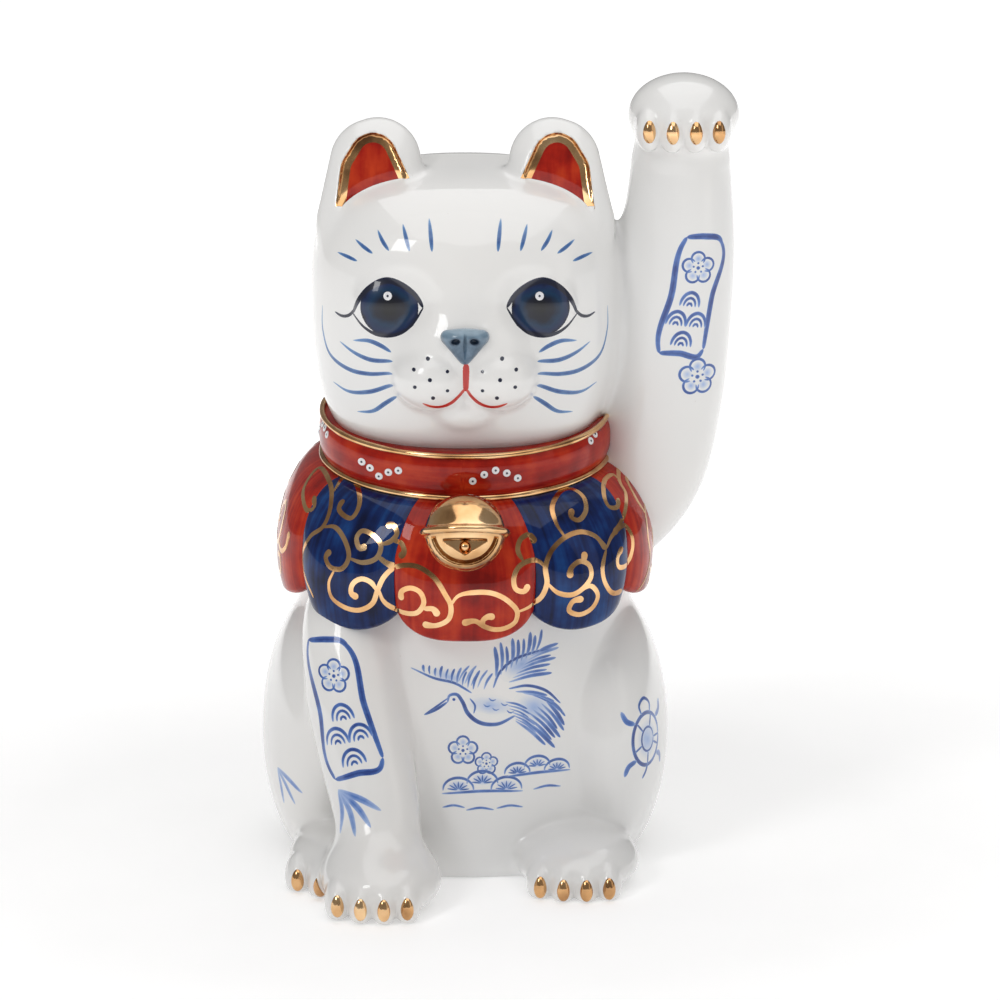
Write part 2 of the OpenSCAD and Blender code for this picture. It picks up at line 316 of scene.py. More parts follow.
# The limbs as (x, y, z, radius) stations
ARM = [
    (30, 6, 94, 13), (45, 7, 103, 16.5), (55, 6, 118, 18.2), (60, 3, 140, 18.3),
    (62.3, 0, 162, 18), (64, -2, 187, 17.1), (64.5, -4, 212, 14.9),
]
LEG = [
    (-24, -12, 96, 10), (-33.4, -26.5, 80, 14.2), (-33.3, -38, 60, 14.3),
    (-30.5, -44, 45, 14), (-26.5, -51.5, 27, 13), (-25.5, -57.5, 16, 11.5),
]
TAIL = [(-9, 50, 9, 8), (0, 54, 12, 9), (7, 56, 20, 8), (9, 55, 28, 6.5)]
# The body as (z, centre y, half width, half depth) stations
BODY = [
    (-6, 4, 43, 39), (0, 4, 46, 42), (5, 4.3, 50, 45), (14, 5, 53, 47), (35, 6, 54, 48.5),
    (60, 5, 52.5, 48), (80, 3, 50, 46), (98, 1, 47, 41.5), (112, 0, 43, 38), (127, 0, 36, 33.5),
]

body_field = loft(BODY, 2.1)


def torso_field(p):
    """The body up to the neck's flat end, with its two haunches."""
    f = body_field(p)
    over = p[:, 2] - TORSO.hi[2]
    f = np.where(over > 0, np.hypot(np.maximum(f, 0), over), f)
    for side in (1, -1):
        f = join(f, ellipsoid(p * (side, 1, 1), (42.3, 3, 37), (20.2, 39.5, 43)), 6)
    return f


# The head's field falls short of the true distance, so it has to reach past the raised arm.
HEAD_FIELD_REACH = 80
# Each porcelain piece's own field, and how softly it joins the pieces before it
PIECES = {
    "torso": (torso_field, 0),
    "head": (nearby("head", head_field, HEAD_FIELD_REACH), 4),
    "muzzle": (nearby("muzzle", muzzle_field), 6.5),
    "left_ear": (nearby("left_ear", ear_field), 5),
    "right_ear": (nearby("right_ear", lambda p: ear_field(p * MIRROR)), 5),
    "raised_arm": (nearby("raised_arm", limb(ARM)), 12),
    "foreleg": (nearby("foreleg", limb(LEG)), 9),
    **{name: (nearby(name, paw(*PAWS[name])), k) for name, k in (
        ("left_hind_foot", 9), ("right_hind_foot", 9), ("forepaw", 13), ("raised_paw", 8))},
    "tail": (nearby("tail", limb(TAIL)), 6),
}
PLATE = BOX["base_plate"]
PLATE_GAP = 0.3


def plate_space(p):
    """The round space that the base plate fills."""
    x, y, z = p.T
    around = np.hypot(x - PLATE.mid[0], y - PLATE.mid[1]) - PLATE.half[0] - PLATE_GAP
    return np.maximum(around, z - PLATE.hi[2] - PLATE_GAP)


def piece_fields(p):
    return np.stack([field(p) for field, _ in PIECES.values()], 1)


def merge(values):
    f = values[:, 0]
    for i, (_, k) in enumerate(PIECES.values()):
        if i:
            f = join(f, values[:, i], k)
    return f


def cat_field(p):
    """The whole cat, flat underneath and open for the base plate."""
    f = merge(piece_fields(p))
    f = carve(f, p[:, 2], 1.2)
    return carve(f, plate_space(p), 0.6)


# ---------- surfaces from fields

def gradient(field, p):
    h = 0.2
    return np.stack([(field(p + s) - field(p - s)) / (2 * h) for s in np.eye(3) * h], 1)


def triangles_of(quads, verts):
    """Each quad cut along its shorter diagonal."""
    a, b, c, d = quads.T
    first = length(verts[a] - verts[c]) <= length(verts[b] - verts[d])
    one = np.where(first[:, None], np.stack([a, b, c], 1), np.stack([a, b, d], 1))
    two = np.where(first[:, None], np.stack([a, c, d], 1), np.stack([b, c, d], 1))
    return np.concatenate([one, two])


def grid_of(*counts):
    """Whole-number places of a grid, one row each."""
    axes = np.meshgrid(*[np.arange(n) for n in counts], indexing="ij")
    return np.stack(axes, -1).reshape(-1, 3)


def sculpt(field, lo, hi, voxel):
    """Points, triangles and normals of a field's surface, sampled only close to it."""
    counts = np.ceil((np.array(hi) - lo) / (voxel * BLOCK)).astype(int)
    cell = grid_of(*counts)
    middle = field(lo + (cell + 0.5) * BLOCK * voxel)
    values = np.sign(middle).reshape(counts) * 4 * voxel
    for axis in range(3):
        values = np.repeat(values, BLOCK, axis)
    values = values.astype(np.float32)
    margin = 1.6        # fields change faster than distance in places
    near = cell[np.abs(middle) < margin * voxel * BLOCK * math.sqrt(3) / 2]
    offset = grid_of(BLOCK, BLOCK, BLOCK)
    for chunk in np.array_split(near, max(1, len(near) // 400)):
        index = (chunk[:, None] * BLOCK + offset).reshape(-1, 3)
        values[tuple(index.T)] = field(lo + index * voxel)
    grid = openvdb.FloatGrid()
    grid.copyFromArray(values)
    points, quads = grid.convertToQuads(isovalue=0.0)
    points = lo + points.astype(float) * voxel
    for _ in range(2):
        slope = gradient(field, points)
        size = np.maximum((slope ** 2).sum(1), 0.05)
        move = slope * (field(points) / size)[:, None]
        points -= move * np.minimum(1, voxel / np.maximum(length(move), 1e-9))[:, None]
    triangles = triangles_of(quads.astype(int), points)
    normals = unit(gradient(field, points))
    a, b, c = (points[triangles[:, i]] for i in range(3))
    if (np.cross(b - a, c - a) * normals[triangles[:, 0]]).sum() < 0:
        triangles = triangles[:, ::-1]
    return points, triangles, normals


def cut(rows, triangles, labels, s):
    """Cuts triangles along the line where s is 0. Rows hold the points and their other values.
    Also gives each new triangle's label, and whether it lies on the low side."""
    s = np.where(np.abs(s) < 1e-5, 1e-5, s)
    low = (s < 0)[triangles]
    mixed = low.any(1) & ~low.all(1)
    whole, part = triangles[~mixed], triangles[mixed]
    lone = np.where(low[mixed].sum(1) == 1, low[mixed].argmax(1), (~low[mixed]).argmax(1))
    a, b, c = part[np.arange(len(part))[:, None], (lone[:, None] + [0, 1, 2]) % 3].T
    pairs = np.sort(np.concatenate([np.stack([a, b], 1), np.stack([a, c], 1)]), 1)
    edges, which = np.unique(pairs, axis=0, return_inverse=True)
    which = which.reshape(-1)
    one, two = edges.T
    share = s[one] / (s[one] - s[two])
    new = rows[one] + share[:, None] * (rows[two] - rows[one])
    ab = len(rows) + which[:len(a)]
    ac = len(rows) + which[len(a):]
    parts = [np.stack(corners, 1) for corners in ((a, ab, ac), (ab, b, c), (ab, c, ac))]
    triangles = np.concatenate([whole, *parts])
    labels = np.concatenate([labels[~mixed], *[labels[mixed]] * 3])
    below = np.concatenate([(s < 0)[whole[:, 0]], s[a] < 0, s[a] >= 0, s[a] >= 0])
    return np.concatenate([rows, new]), triangles, labels, below


def rim_edges(triangles):
    """The edges that only one triangle has."""
    edges = np.concatenate([triangles[:, pair] for pair in ([0, 1], [1, 2], [2, 0])])
    have = set(map(tuple, edges.tolist()))
    return [(a, b) for a, b in have if (b, a) not in have]


def boundary_loops(triangles):
    """Closed loops of rim edges."""
    following = {}
    for a, b in rim_edges(triangles):
        following.setdefault(a, []).append(b)
    loops = []
    while following:
        start = min(following)
        loop = [start]
        while True:
            options = following[loop[-1]]
            step = options.pop()
            if not options:
                del following[loop[-1]]
            if step == start or step not in following:
                break
            loop.append(step)
        loops.append(loop)
    return loops


def compact(triangles, *rows):
    """Triangles numbered over only the rows they use, and those rows."""
    used, triangles = np.unique(triangles, return_inverse=True)
    return (triangles.reshape(-1, 3), *(row[used] for row in rows))


def closed(verts, triangles, normals):
    """The piece with each of its open ends closed by a shallow cone inside the figure."""
    depth = 2.5         # the cone starts this far under the glaze
    triangles, verts, normals = compact(triangles, verts, normals)
    for loop in boundary_loops(triangles):
        ring = np.array(loop)
        inner = verts[ring] - normals[ring] * depth
        deep = len(verts) + np.arange(len(ring))
        ahead, deep_ahead = np.roll(ring, -1), np.roll(deep, -1)
        middle, facing = inner.mean(0), normals[ring].mean(0)
        hub = middle - unit(facing[None])[0] * 0.2 * length(inner - middle).mean()
        centre = np.full(len(ring), len(verts) + len(ring))
        verts = np.concatenate([verts, inner, hub[None]])
        normals = np.concatenate([normals, normals[ring], facing[None]])
        corners = (ahead, ring, deep), (ahead, deep, deep_ahead), (deep_ahead, deep, centre)
        triangles = np.concatenate([triangles, *(np.stack(three, 1) for three in corners)])
    return verts, triangles, normals


# ---------- Blender objects

def add_object(name, data):
    thing = bpy.data.objects.new(name, data)
    bpy.context.scene.collection.objects.link(thing)
    return thing


def tube(rows, sides, wrap=False):
    """Faces between rows of points that each go once round."""
    faces = []
    for i in range(rows if wrap else rows - 1):
        a, b = i * sides, (i + 1) % rows * sides
        for j in range(sides):
            k = (j + 1) % sides
            faces.append((a + j, b + j, b + k, a + k))
    return faces


def make(name, verts, faces, finish, normals=None, replaces=(), values=None):
    """A piece that rides on the figurine, in one of the FINISHES."""
    material, slot = FINISHES[finish]
    mesh = bpy.data.meshes.new(name)
    faces = faces.tolist() if isinstance(faces, np.ndarray) else faces
    mesh.from_pydata((np.asarray(verts) * MM).tolist(), [], faces)
    mesh.polygons.foreach_set("use_smooth", [True] * len(mesh.polygons))
    for key, data in (values or {}).items():
        layer = mesh.attributes.new(key, "FLOAT", "POINT")
        layer.data.foreach_set("value", np.asarray(data, np.float32))
    if normals is not None:
        mesh.normals_split_custom_set_from_vertices([tuple(n) for n in normals.tolist()])
    mesh.materials.append(material)
    piece = add_object(name, mesh)
    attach(piece, "figurine")
    if replaces:
        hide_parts(*replaces)
    return piece


# ---------- materials

class Nodes:
    """A material's node tree, with short ways to add nodes and links."""

    def __init__(self, name):
        self.material = bpy.data.materials.new(name)
        self.material.use_nodes = True
        self.tree = self.material.node_tree
        self.shader = self.tree.nodes["Principled BSDF"]

    def add(self, kind, inputs=None, **settings):
        node = self.tree.nodes.new(kind)
        for key, value in settings.items():
            setattr(node, key, value)
        for key, value in (inputs or {}).items():
            self.feed(node, key, value)
        return node

    def feed(self, node, key, value):
        if isinstance(value, bpy.types.NodeSocket):
            self.tree.links.new(value, node.inputs[key])
        else:
            node.inputs[key].default_value = value

    def set(self, **inputs):
        for key, value in inputs.items():
            self.feed(self.shader, key.replace("_", " "), value)

    def place(self):
        return self.add("ShaderNodeTexCoord").outputs["Object"]

    def noise(self, scale, detail, vector=None):
        inputs = {"Scale": scale, "Detail": detail, "Vector": vector or self.place()}
        return self.add("ShaderNodeTexNoise", inputs).outputs["Fac"]

    def value(self, name):
        return self.add("ShaderNodeAttribute", attribute_name=name).outputs["Fac"]

    def math(self, kind, *values):
        return self.add("ShaderNodeMath", dict(enumerate(values)), operation=kind).outputs[0]

    def ramp(self, factor, *stops):
        node = self.add("ShaderNodeValToRGB", {"Fac": factor})
        elements = node.color_ramp.elements
        while len(elements) < len(stops):
            elements.new(0.5)
        for element, (position, colour) in zip(elements, stops):
            element.position = position
            element.color = (*colour, 1)
        return node.outputs["Color"]

    def mix(self, factor, a, b):
        a = (*a, 1) if isinstance(a, tuple) else a
        inputs = {0: factor, 6: a, 7: (*b, 1)}
        return self.add("ShaderNodeMix", inputs, data_type="RGBA").outputs[2]

    def bump(self, height, strength, distance):
        inputs = {"Height": height, "Strength": strength, "Distance": distance}
        return self.add("ShaderNodeBump", inputs).outputs["Normal"]


WHITE_WARM = (0.845, 0.832, 0.812)
WHITE_COOL = (0.80, 0.80, 0.795)


def porcelain_colour(n):
    """Warm white with cooler pools of glaze and a few faint iron specks."""
    cool = n.ramp(n.noise(14, 3), (0.35, (0, 0, 0)), (0.7, (1, 1, 1)))
    pools = n.mix(cool, WHITE_WARM, WHITE_COOL)
    cells = {"Scale": 95.0, "Randomness": 1.0, "Vector": n.place()}
    specks = n.add("ShaderNodeTexVoronoi", cells).outputs["Distance"]
    rare = n.math("LESS_THAN", specks, 0.022)
    return n.mix(n.math("MULTIPLY", rare, 0.16), pools, (0.42, 0.36, 0.30))


def glaze(n, coat=1.0, wave=0.05):
    """Clear glaze: a hard gloss that waves a little."""
    n.set(Coat_Weight=coat, Coat_Roughness=0.03, Coat_IOR=1.45, Specular_IOR_Level=0.3)
    n.set(Coat_Normal=n.bump(n.noise(45, 2), wave, 0.002))


def porcelain():
    n = Nodes("glazed porcelain")
    n.set(Base_Color=porcelain_colour(n), Roughness=0.38, IOR=1.5)
    glaze(n)
    return n.material


def underglaze_blue():
    """Cobalt under the glaze: the tone value runs from bare porcelain to full colour."""
    n = Nodes("underglaze cobalt")
    load = n.math("MULTIPLY_ADD", n.noise(260, 3), 0.9, 0.55)
    tone = n.math("MULTIPLY", n.value("tone"), load)
    colour = n.ramp(tone, (0.06, (0.81, 0.81, 0.80)), (0.3, (0.38, 0.50, 0.76)),
                    (0.6, (0.085, 0.19, 0.52)), (1.0, (0.018, 0.05, 0.24)))
    n.set(Base_Color=colour, Roughness=0.38)
    glaze(n)
    return n.material


def enamel(name, dark, middle, light):
    """Thick overglaze enamel, mottled and faintly streaked along the flow value."""
    n = Nodes(name)
    lane = n.add("ShaderNodeCombineXYZ", {"X": n.value("flow"), "Y": n.value("drift"), "Z": 0.0})
    streaks = n.noise(0.55, 3, lane.outputs[0])
    tone = n.math("MULTIPLY_ADD", streaks, 0.42, n.math("MULTIPLY", n.noise(110, 4), 0.58))
    n.set(Base_Color=n.ramp(tone, (0.36, dark), (0.5, middle), (0.66, light)), Roughness=0.3)
    n.set(Coat_Weight=0.6, Coat_Roughness=0.03, Coat_IOR=1.42, Specular_IOR_Level=0.02)
    n.set(Coat_Normal=n.bump(n.noise(55, 2), 0.07, 0.002), Normal=n.bump(streaks, 0.12, 0.0004))
    return n.material


def gold_lustre():
    """Bright gold mottled browner in patches, partly as wear and partly as painted dark
    reflections.
    """
    n = Nodes("gold lustre")
    # The browner end of this ramp is partly wear and partly painted dark reflection of the
    # surroundings.
    n.set(Base_Color=n.ramp(n.noise(75, 4), (0.3, (0.30, 0.14, 0.06)),
                            (0.48, (0.70, 0.40, 0.18)), (0.7, (0.93, 0.64, 0.36))))
    n.set(Metallic=1.0, Roughness=n.math("MULTIPLY_ADD", n.noise(300, 2), 0.12, 0.08))
    n.set(Normal=n.bump(n.noise(140, 2), 0.12, 0.0006))
    return n.material


def nose_glaze():
    """Grey-blue glaze, with painted light making it paler along the top and painted shade darkening
    the nostrils.
    """
    n = Nodes("nose glaze")
    body = n.ramp(n.noise(420, 3), (0.3, (0.035, 0.075, 0.125)), (0.5, (0.065, 0.12, 0.185)),
                  (0.72, (0.12, 0.19, 0.27)))
    # Painted light: the glaze turns paler towards the top of the nose.
    height = n.math("POWER", n.value("height"), 3.0)
    painted_top_light = n.mix(n.math("MULTIPLY", height, 0.55), body, (0.36, 0.50, 0.60))
    # Painted shade: the glaze turns darker the deeper a point lies in a nostril pit.
    n.set(Base_Color=n.mix(n.value("depth"), painted_top_light, (0.008, 0.02, 0.05)), Roughness=0.35)
    glaze(n)
    return n.material


def line_paint(name, bare, thin, full, speckle=0.5):
    """Paint laid in thin lines: the tone value runs from the bare ground to full colour."""
    n = Nodes(name)
    load = n.math("MULTIPLY_ADD", n.noise(500, 2), speckle, 1 - speckle / 2)
    tone = n.math("MULTIPLY", n.value("tone"), load)
    n.set(Base_Color=n.ramp(tone, (0.05, bare), (0.4, thin), (0.85, full)), Roughness=0.35)
    glaze(n)
    return n.material


def iris_paint():
    """Nearly black in the middle, navy and teal further out, with a dark edge."""
    n = Nodes("iris paint")
    cloud = n.math("SUBTRACT", n.noise(230, 3), 0.5)
    reach = n.math("SUBTRACT", n.value("tone"), n.math("MULTIPLY", cloud, 0.4))
    colour = n.ramp(reach, (0.02, (0.003, 0.003, 0.014)), (0.14, (0.006, 0.018, 0.07)),
                    (0.34, (0.003, 0.028, 0.075)), (0.56, (0.004, 0.006, 0.018)),
                    (0.9, (0.004, 0.004, 0.006)))
    n.set(Base_Color=colour, Roughness=0.3)
    glaze(n, coat=0.6, wave=0.03)
    return n.material


def mottled(name, scale, detail, dark, light, roughness):
    """A material mottled between two colours, and the grain it follows."""
    n = Nodes(name)
    grain = n.noise(scale, detail)
    n.set(Base_Color=n.ramp(grain, (0.3, dark), (0.7, light)), Roughness=roughness)
    return n, grain


def white_enamel():
    n, _ = mottled("white enamel dots", 800, 2, (0.74, 0.74, 0.76), (0.86, 0.86, 0.87), 0.3)
    glaze(n)
    return n.material


def bisque():
    n, grain = mottled("unglazed bisque", 900, 4, (0.55, 0.47, 0.37), (0.72, 0.65, 0.55), 0.85)
    n.set(Normal=n.bump(grain, 0.4, 0.0004))
    return n.material


def stopper_rubber():
    n, grain = mottled("stopper rubber", 700, 3, (0.03, 0.03, 0.03), (0.06, 0.058, 0.055), 0.62)
    n.set(Normal=n.bump(grain, 0.25, 0.0003))
    return n.material


RED = (0.20, 0.006, 0.004), (0.36, 0.014, 0.006), (0.52, 0.045, 0.012)
BLUE = (0.003, 0.006, 0.032), (0.005, 0.018, 0.095), (0.010, 0.055, 0.20)
FACIAL = (0.56, 0.65, 0.76), (0.13, 0.28, 0.54), (0.012, 0.06, 0.24)
INK = (0.07, 0.11, 0.24), (0.012, 0.02, 0.07), (0.004, 0.006, 0.022)
MOUTH = (0.74, 0.42, 0.36), (0.62, 0.07, 0.04), (0.50, 0.014, 0.010)

# Each finish's material, and the slot of the pieces that have it
FINISHES = {
    "porcelain": (porcelain(), "porcelain"),
    "cobalt": (underglaze_blue(), "blue_enamel"),
    "red": (enamel("red enamel", *RED), "red_enamel"),
    "blue": (enamel("blue enamel", *BLUE), "blue_enamel"),
    "gold": (gold_lustre(), "gold_lustre"),
    "nose": (nose_glaze(), "nose_glaze"),
    "facial": (line_paint("facial blue", *FACIAL), "blue_enamel"),
    "ink": (line_paint("lid ink", *INK, speckle=0.2), "blue_enamel"),
    "mouth": (line_paint("mouth red", *MOUTH), "red_enamel"),
    "iris": (iris_paint(), "blue_enamel"),
    "white": (white_enamel(), "porcelain"),
}


# ---------- casting the cat

def cast_cat():
    """Makes the porcelain pieces of one smooth surface, cut where they meet."""
    lo, hi = (np.array(corner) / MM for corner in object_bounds())
    points, triangles, normals = sculpt(cat_field, lo - 4, hi + 4, VOXEL)
    rows = np.concatenate([points, piece_fields(points)], 1)
    labels = np.zeros(len(triangles), int)
    for i in range(len(PIECES) - 1, 0, -1):
        others = rows[:, 3:3 + i].min(1)
        rows, triangles, labels, below = cut(rows, triangles, labels, rows[:, 3 + i] - others)
        labels[below & (labels == 0)] = i
    points = rows[:, :3]
    normals = unit(gradient(cat_field, points))
    for i, name in enumerate(PIECES):
        verts, faces, shade = closed(points, triangles[labels == i], normals)
        make(name + "_casting", verts, faces, "porcelain", shade, [name])
    return points, triangles, normals


# ---------- bib and collar

GORE_EDGES = [-17.5, 17.5, 60, 120, 162.5, 197.5, 240, 300, 342.5]
BIB_ROLL = 115      # degrees that the bib curls over, from the collar to its hem
BIB_TOP = np.array([41.0, 40.0])
BIB_WIDE = np.maximum(BOX["bib_red_gores"].hi, BOX["bib_blue_gores"].hi)[:2]
CREASE = 0.05       # depth of the creases between gores, as a share of the bib's size
HEM = 91.5          # height of the hem, and how far it drops in each gore and in front and behind
HEM_LOBE = 7.5
HEM_SAG = 6
INSIDE = np.array([0.8, 0.8, 1])
LOWER_RING = BOX["collar_lower_piping"]
UPPER_RING = BOX["collar_upper_piping"]
PIPING = 1.1
RING_R = UPPER_RING.half[0] - PIPING
COLLAR_TILT = math.asin((UPPER_RING.half[2] - PIPING) / RING_R)
COLLAR_MID = (UPPER_RING.mid + LOWER_RING.mid) / 2
COLLAR_H = length(UPPER_RING.mid - LOWER_RING.mid)


def rounded(v):
    """A sine or cosine, drawn out towards a squarer plan."""
    return np.sign(v) * np.abs(v) ** 0.8


def bib_at(angle, t, lobe):
    """The bib's outer surface: t runs from 0 at the collar to 1 at the hem."""
    a = np.radians(angle)
    roll = np.radians(BIB_ROLL * t)
    puff = 1 - CREASE * (1 - lobe) * np.sin(np.minimum(roll, math.pi / 2)) ** 2
    rx, ry = (BIB_TOP + (BIB_WIDE - BIB_TOP) * np.sin(roll)) * puff
    square = np.minimum(1, 1.6 * t)
    x = rx * (square * rounded(np.sin(a)) + (1 - square) * np.sin(a))
    y = -ry * (square * rounded(np.cos(a)) + (1 - square) * np.cos(a))
    top = COLLAR_MID[2] - COLLAR_H / 2 - 0.5 + math.sin(COLLAR_TILT) * y
    hem = HEM - HEM_LOBE * lobe - HEM_SAG * np.cos(a) ** 2
    z = top + (hem - top) * (1 - np.cos(roll)) / (1 - math.cos(math.radians(BIB_ROLL)))
    return np.stack([x, y, z], -1)


def gore_shell(start, end):
    """One gore with a rolled hem: closed points and faces, with flow across and drift down."""
    across, down, under = 30, 26, 7     # columns, rows to the hem and rows round it
    verts, flow, drift = [], [], []
    for i in range(across + 1):
        u = math.sin(math.pi / 2 * (2 * i / across - 1))
        angle = (start + end) / 2 + u * ((end - start) / 2 - 0.05)
        lobe = (1 - abs(u) ** 2.5) ** 0.8
        column = [bib_at(angle, t, lobe) for t in np.linspace(0, 1, down + 1)]
        tip = column[-1]
        out = unit(tip[None] * (1, 1, 0))[0]
        for k in range(under):
            turn = math.radians(BIB_ROLL + 95 * (k + 1) / under)
            tip = tip + (out * math.cos(turn) - np.array([0, 0, math.sin(turn)])) * 0.62
            column.append(tip)
        column += [tip * INSIDE + (0, 0, 7), column[0] * INSIDE]
        verts += column
        flow += [angle] * len(column)
        drift += list(np.linspace(0, 1, len(column)))
    m = len(column)
    faces = [(a, d, c, b) for a, b, c, d in tube(across + 1, m)]
    faces += [tuple(range(m - 1, -1, -1)), tuple(range(across * m, across * m + m))]
    return verts, faces, flow, drift


def bib(first, colour):
    """Every second gore of the bib as one piece, from the first one on."""
    verts, faces, flow, drift = [], [], [], []
    for i in range(first, len(GORE_EDGES) - 1, 2):
        points, shell, across, along = gore_shell(GORE_EDGES[i], GORE_EDGES[i + 1])
        faces += [tuple(k + len(verts) for k in face) for face in shell]
        verts += points
        flow += across
        drift += [d + 10 * i for d in along]
    return make(f"bib_{colour}_enamel", verts, faces, colour,
                replaces=[f"bib_{colour}_gores"], values={"flow": flow, "drift": drift})


def turned(angle, radius, height):
    """A point of the tilted collar, by its angle from the front, radius and height."""
    x, y = radius * np.sin(angle), -radius * np.cos(angle)
    c, s = math.cos(COLLAR_TILT), math.sin(COLLAR_TILT)
    return COLLAR_MID + np.stack([x, y * c - height * s, y * s + height * c], -1)


def ring(section, count):
    """Points and faces of a ring: section(angle) gives its outline's radii and heights."""
    angles = np.linspace(0, 2 * math.pi, count, endpoint=False)
    verts = [turned(angle, *section(angle)) for angle in angles]
    return np.concatenate(verts), tube(count, len(verts[0]), wrap=True)


def collar():
    """The enamelled band and its two gilt pipings, all slightly uneven."""
    half = COLLAR_H / 2
    outer, inner = BOX["collar_band"].half[0], 34
    rows, turns = 21, 180

    def band(angle):
        height = np.linspace(-half, half, rows)
        bulge = outer - 1.6 * np.abs(height / half) ** 2.4 + 0.15 * math.sin(5 * angle)
        return np.append(bulge, (inner, inner)), np.append(height, (half, -half))

    verts, faces = ring(band, turns)
    flow = np.tile(np.append(np.linspace(0, 9, rows), (9, 0)), turns)
    drift = np.repeat(np.linspace(0, 9, turns), rows + 2)
    enamelled = make("collar_band_enamel", verts, faces, "red", replaces=["collar_band"],
                     values={"flow": flow, "drift": drift})
    for side, name in ((1, "collar_upper_piping"), (-1, "collar_lower_piping")):
        def bead(angle):
            uneven = 1 + 0.07 * math.sin(7 * angle + side) + 0.05 * math.sin(17 * angle)
            thick = PIPING * (0.92 - 0.12 * side) * uneven
            turn = np.linspace(0, 2 * math.pi, 14, endpoint=False)
            return RING_R + thick * np.cos(turn), side * half + thick * np.sin(turn)

        make(name + "_gilt", *ring(bead, 240), "gold", replaces=[name])
    return enamelled


# ---------- bell and nose

BELL = BOX["bell"]
BELL_R = BELL.half[0] - 0.7
BELL_TILT = math.radians(-19)


def bell_frame(p):
    """Points in the bell's own frame: Z up its axis, -Y to its front."""
    q = p - BELL.mid
    c, s = math.cos(BELL_TILT), math.sin(BELL_TILT)
    return np.stack([q[:, 0], q[:, 1] * c + q[:, 2] * s, q[:, 2] * c - q[:, 1] * s], 1)


def bell_field(p):
    """A ball with a rim round it, a groove below and a three-cornered mouth in front."""
    q = bell_frame(p)
    x, y, z = q.T
    f = ellipsoid(q, (0, 0, 0), (BELL_R + 0.4, BELL_R, BELL_R))
    flat = np.hypot(x, y)
    rim = np.hypot(np.maximum(flat - BELL_R - 1.0, 0), z) - 0.8
    f = join(f, np.where(flat < BELL_R - 2, FAR, rim), 3.2)
    groove = np.hypot(np.hypot(x, z) - 0.82 * BELL_R, f * 0.9) - 0.62
    f = carve(f, np.maximum(groove, np.maximum(z + 1.9, y)), 0.5)
    mouth = outline_gap(x, z, [(0, -7.0), (6.0, -3.1), (-6.0, -3.1)]) - 0.4
    return carve(f, np.maximum(mouth, y + 0.45 * BELL_R), 0.5)


def bell():
    points, faces, normals = sculpt(bell_field, BELL.lo - 3, BELL.hi + 3, FINE_VOXEL)
    make("bell_gilt", points, faces, "gold", normals, ["bell"])
    pea = BOX["bell_pea"]

    def ball(p):
        return ellipsoid(p, pea.mid, pea.half + 0.1)

    points, faces, normals = sculpt(ball, pea.lo - 1.5, pea.hi + 1.5, PEA_VOXEL)
    make("bell_pea_gilt", points, faces, "gold", normals, ["bell_pea"])


NOSE = BOX["nose"]


def nostrils(p):
    """Field of the two slanting pits."""
    pits = np.full(len(p), FAR)
    for side in (1, -1):
        q = p * (side, 1, 1) - (2.7, NOSE.lo[1] + 0.7, NOSE.lo[2] + 6.9)
        slanted = q + q[:, [2, 1, 0]] * (0.35, 0, 0)
        pits = np.minimum(pits, ellipsoid(slanted, 0, np.array([1.2, 1.3, 0.8])))
    return pits


def nose_field(p):
    """A rounded triangle with a fuller top, a cleft below and the nostrils."""
    top = NOSE.hi[2] - 2.6
    gap = outline_gap(p[:, 0], p[:, 2], [(0, NOSE.lo[2] + 1.9), (5.0, top), (-5.0, top)])
    middle = NOSE.lo[1] + 2.7 + 0.05 * p[:, 0] ** 2
    f = np.hypot(gap, (p[:, 1] - middle) * 0.85) - 2.1
    f = join(f, ellipsoid(p, (0, NOSE.lo[1] + 4, NOSE.hi[2] - 2.5), (6.5, 4, 2.6)), 2)
    f = carve(f, ellipsoid(p, (0, NOSE.lo[1], NOSE.lo[2] + 5.5), (0.4, 0.9, 4)), 0.6)
    return carve(f, nostrils(p), 0.8)


def nose():
    points, faces, normals = sculpt(nose_field, NOSE.lo - 3, NOSE.hi + 3, FINE_VOXEL)
    # How deep each point lies in a nostril pit, for painted shade, and how high it is on the nose,
    # for painted light.
    depth = np.clip(0.85 - nostrils(points) / 0.9, 0, 1)
    height = (points[:, 2] - NOSE.lo[2]) / (NOSE.hi[2] - NOSE.lo[2])
    make("nose_glazed", points, faces, "nose", normals, ["nose"],
         {"depth": depth, "height": height})


# ---------- laying paint

# Directions that paint is projected from, in degrees round from the front towards the cat's left
VIEWS = {"front": 0, "left_haunch": 50, "left": 90, "back": 180, "right": 270, "right_haunch": 310}
VIEW_REACH = 300
PAINT_SINK = 0.3        # how far the underside of the paint lies below the surface


def curve_through(points, width):
    """Points along a smooth curve through a few given ones, closer together near its ends,
    and how far each is from the nearer end."""
    points = np.array(points, float)
    steps = np.maximum(length(np.diff(points, axis=0)), 1e-3)
    knots = np.append(0, np.cumsum(steps))
    total = knots[-1]
    tip = np.array([0, 0.06, 0.22]) * width
    count = max(3, int(total / 0.6))
    middle = np.linspace(0.5 * width, total - 0.5 * width, count)
    places = np.concatenate([tip, middle, total - tip[::-1]])
    return Smooth(knots, points).at(places)[0], np.minimum(places, total - places)


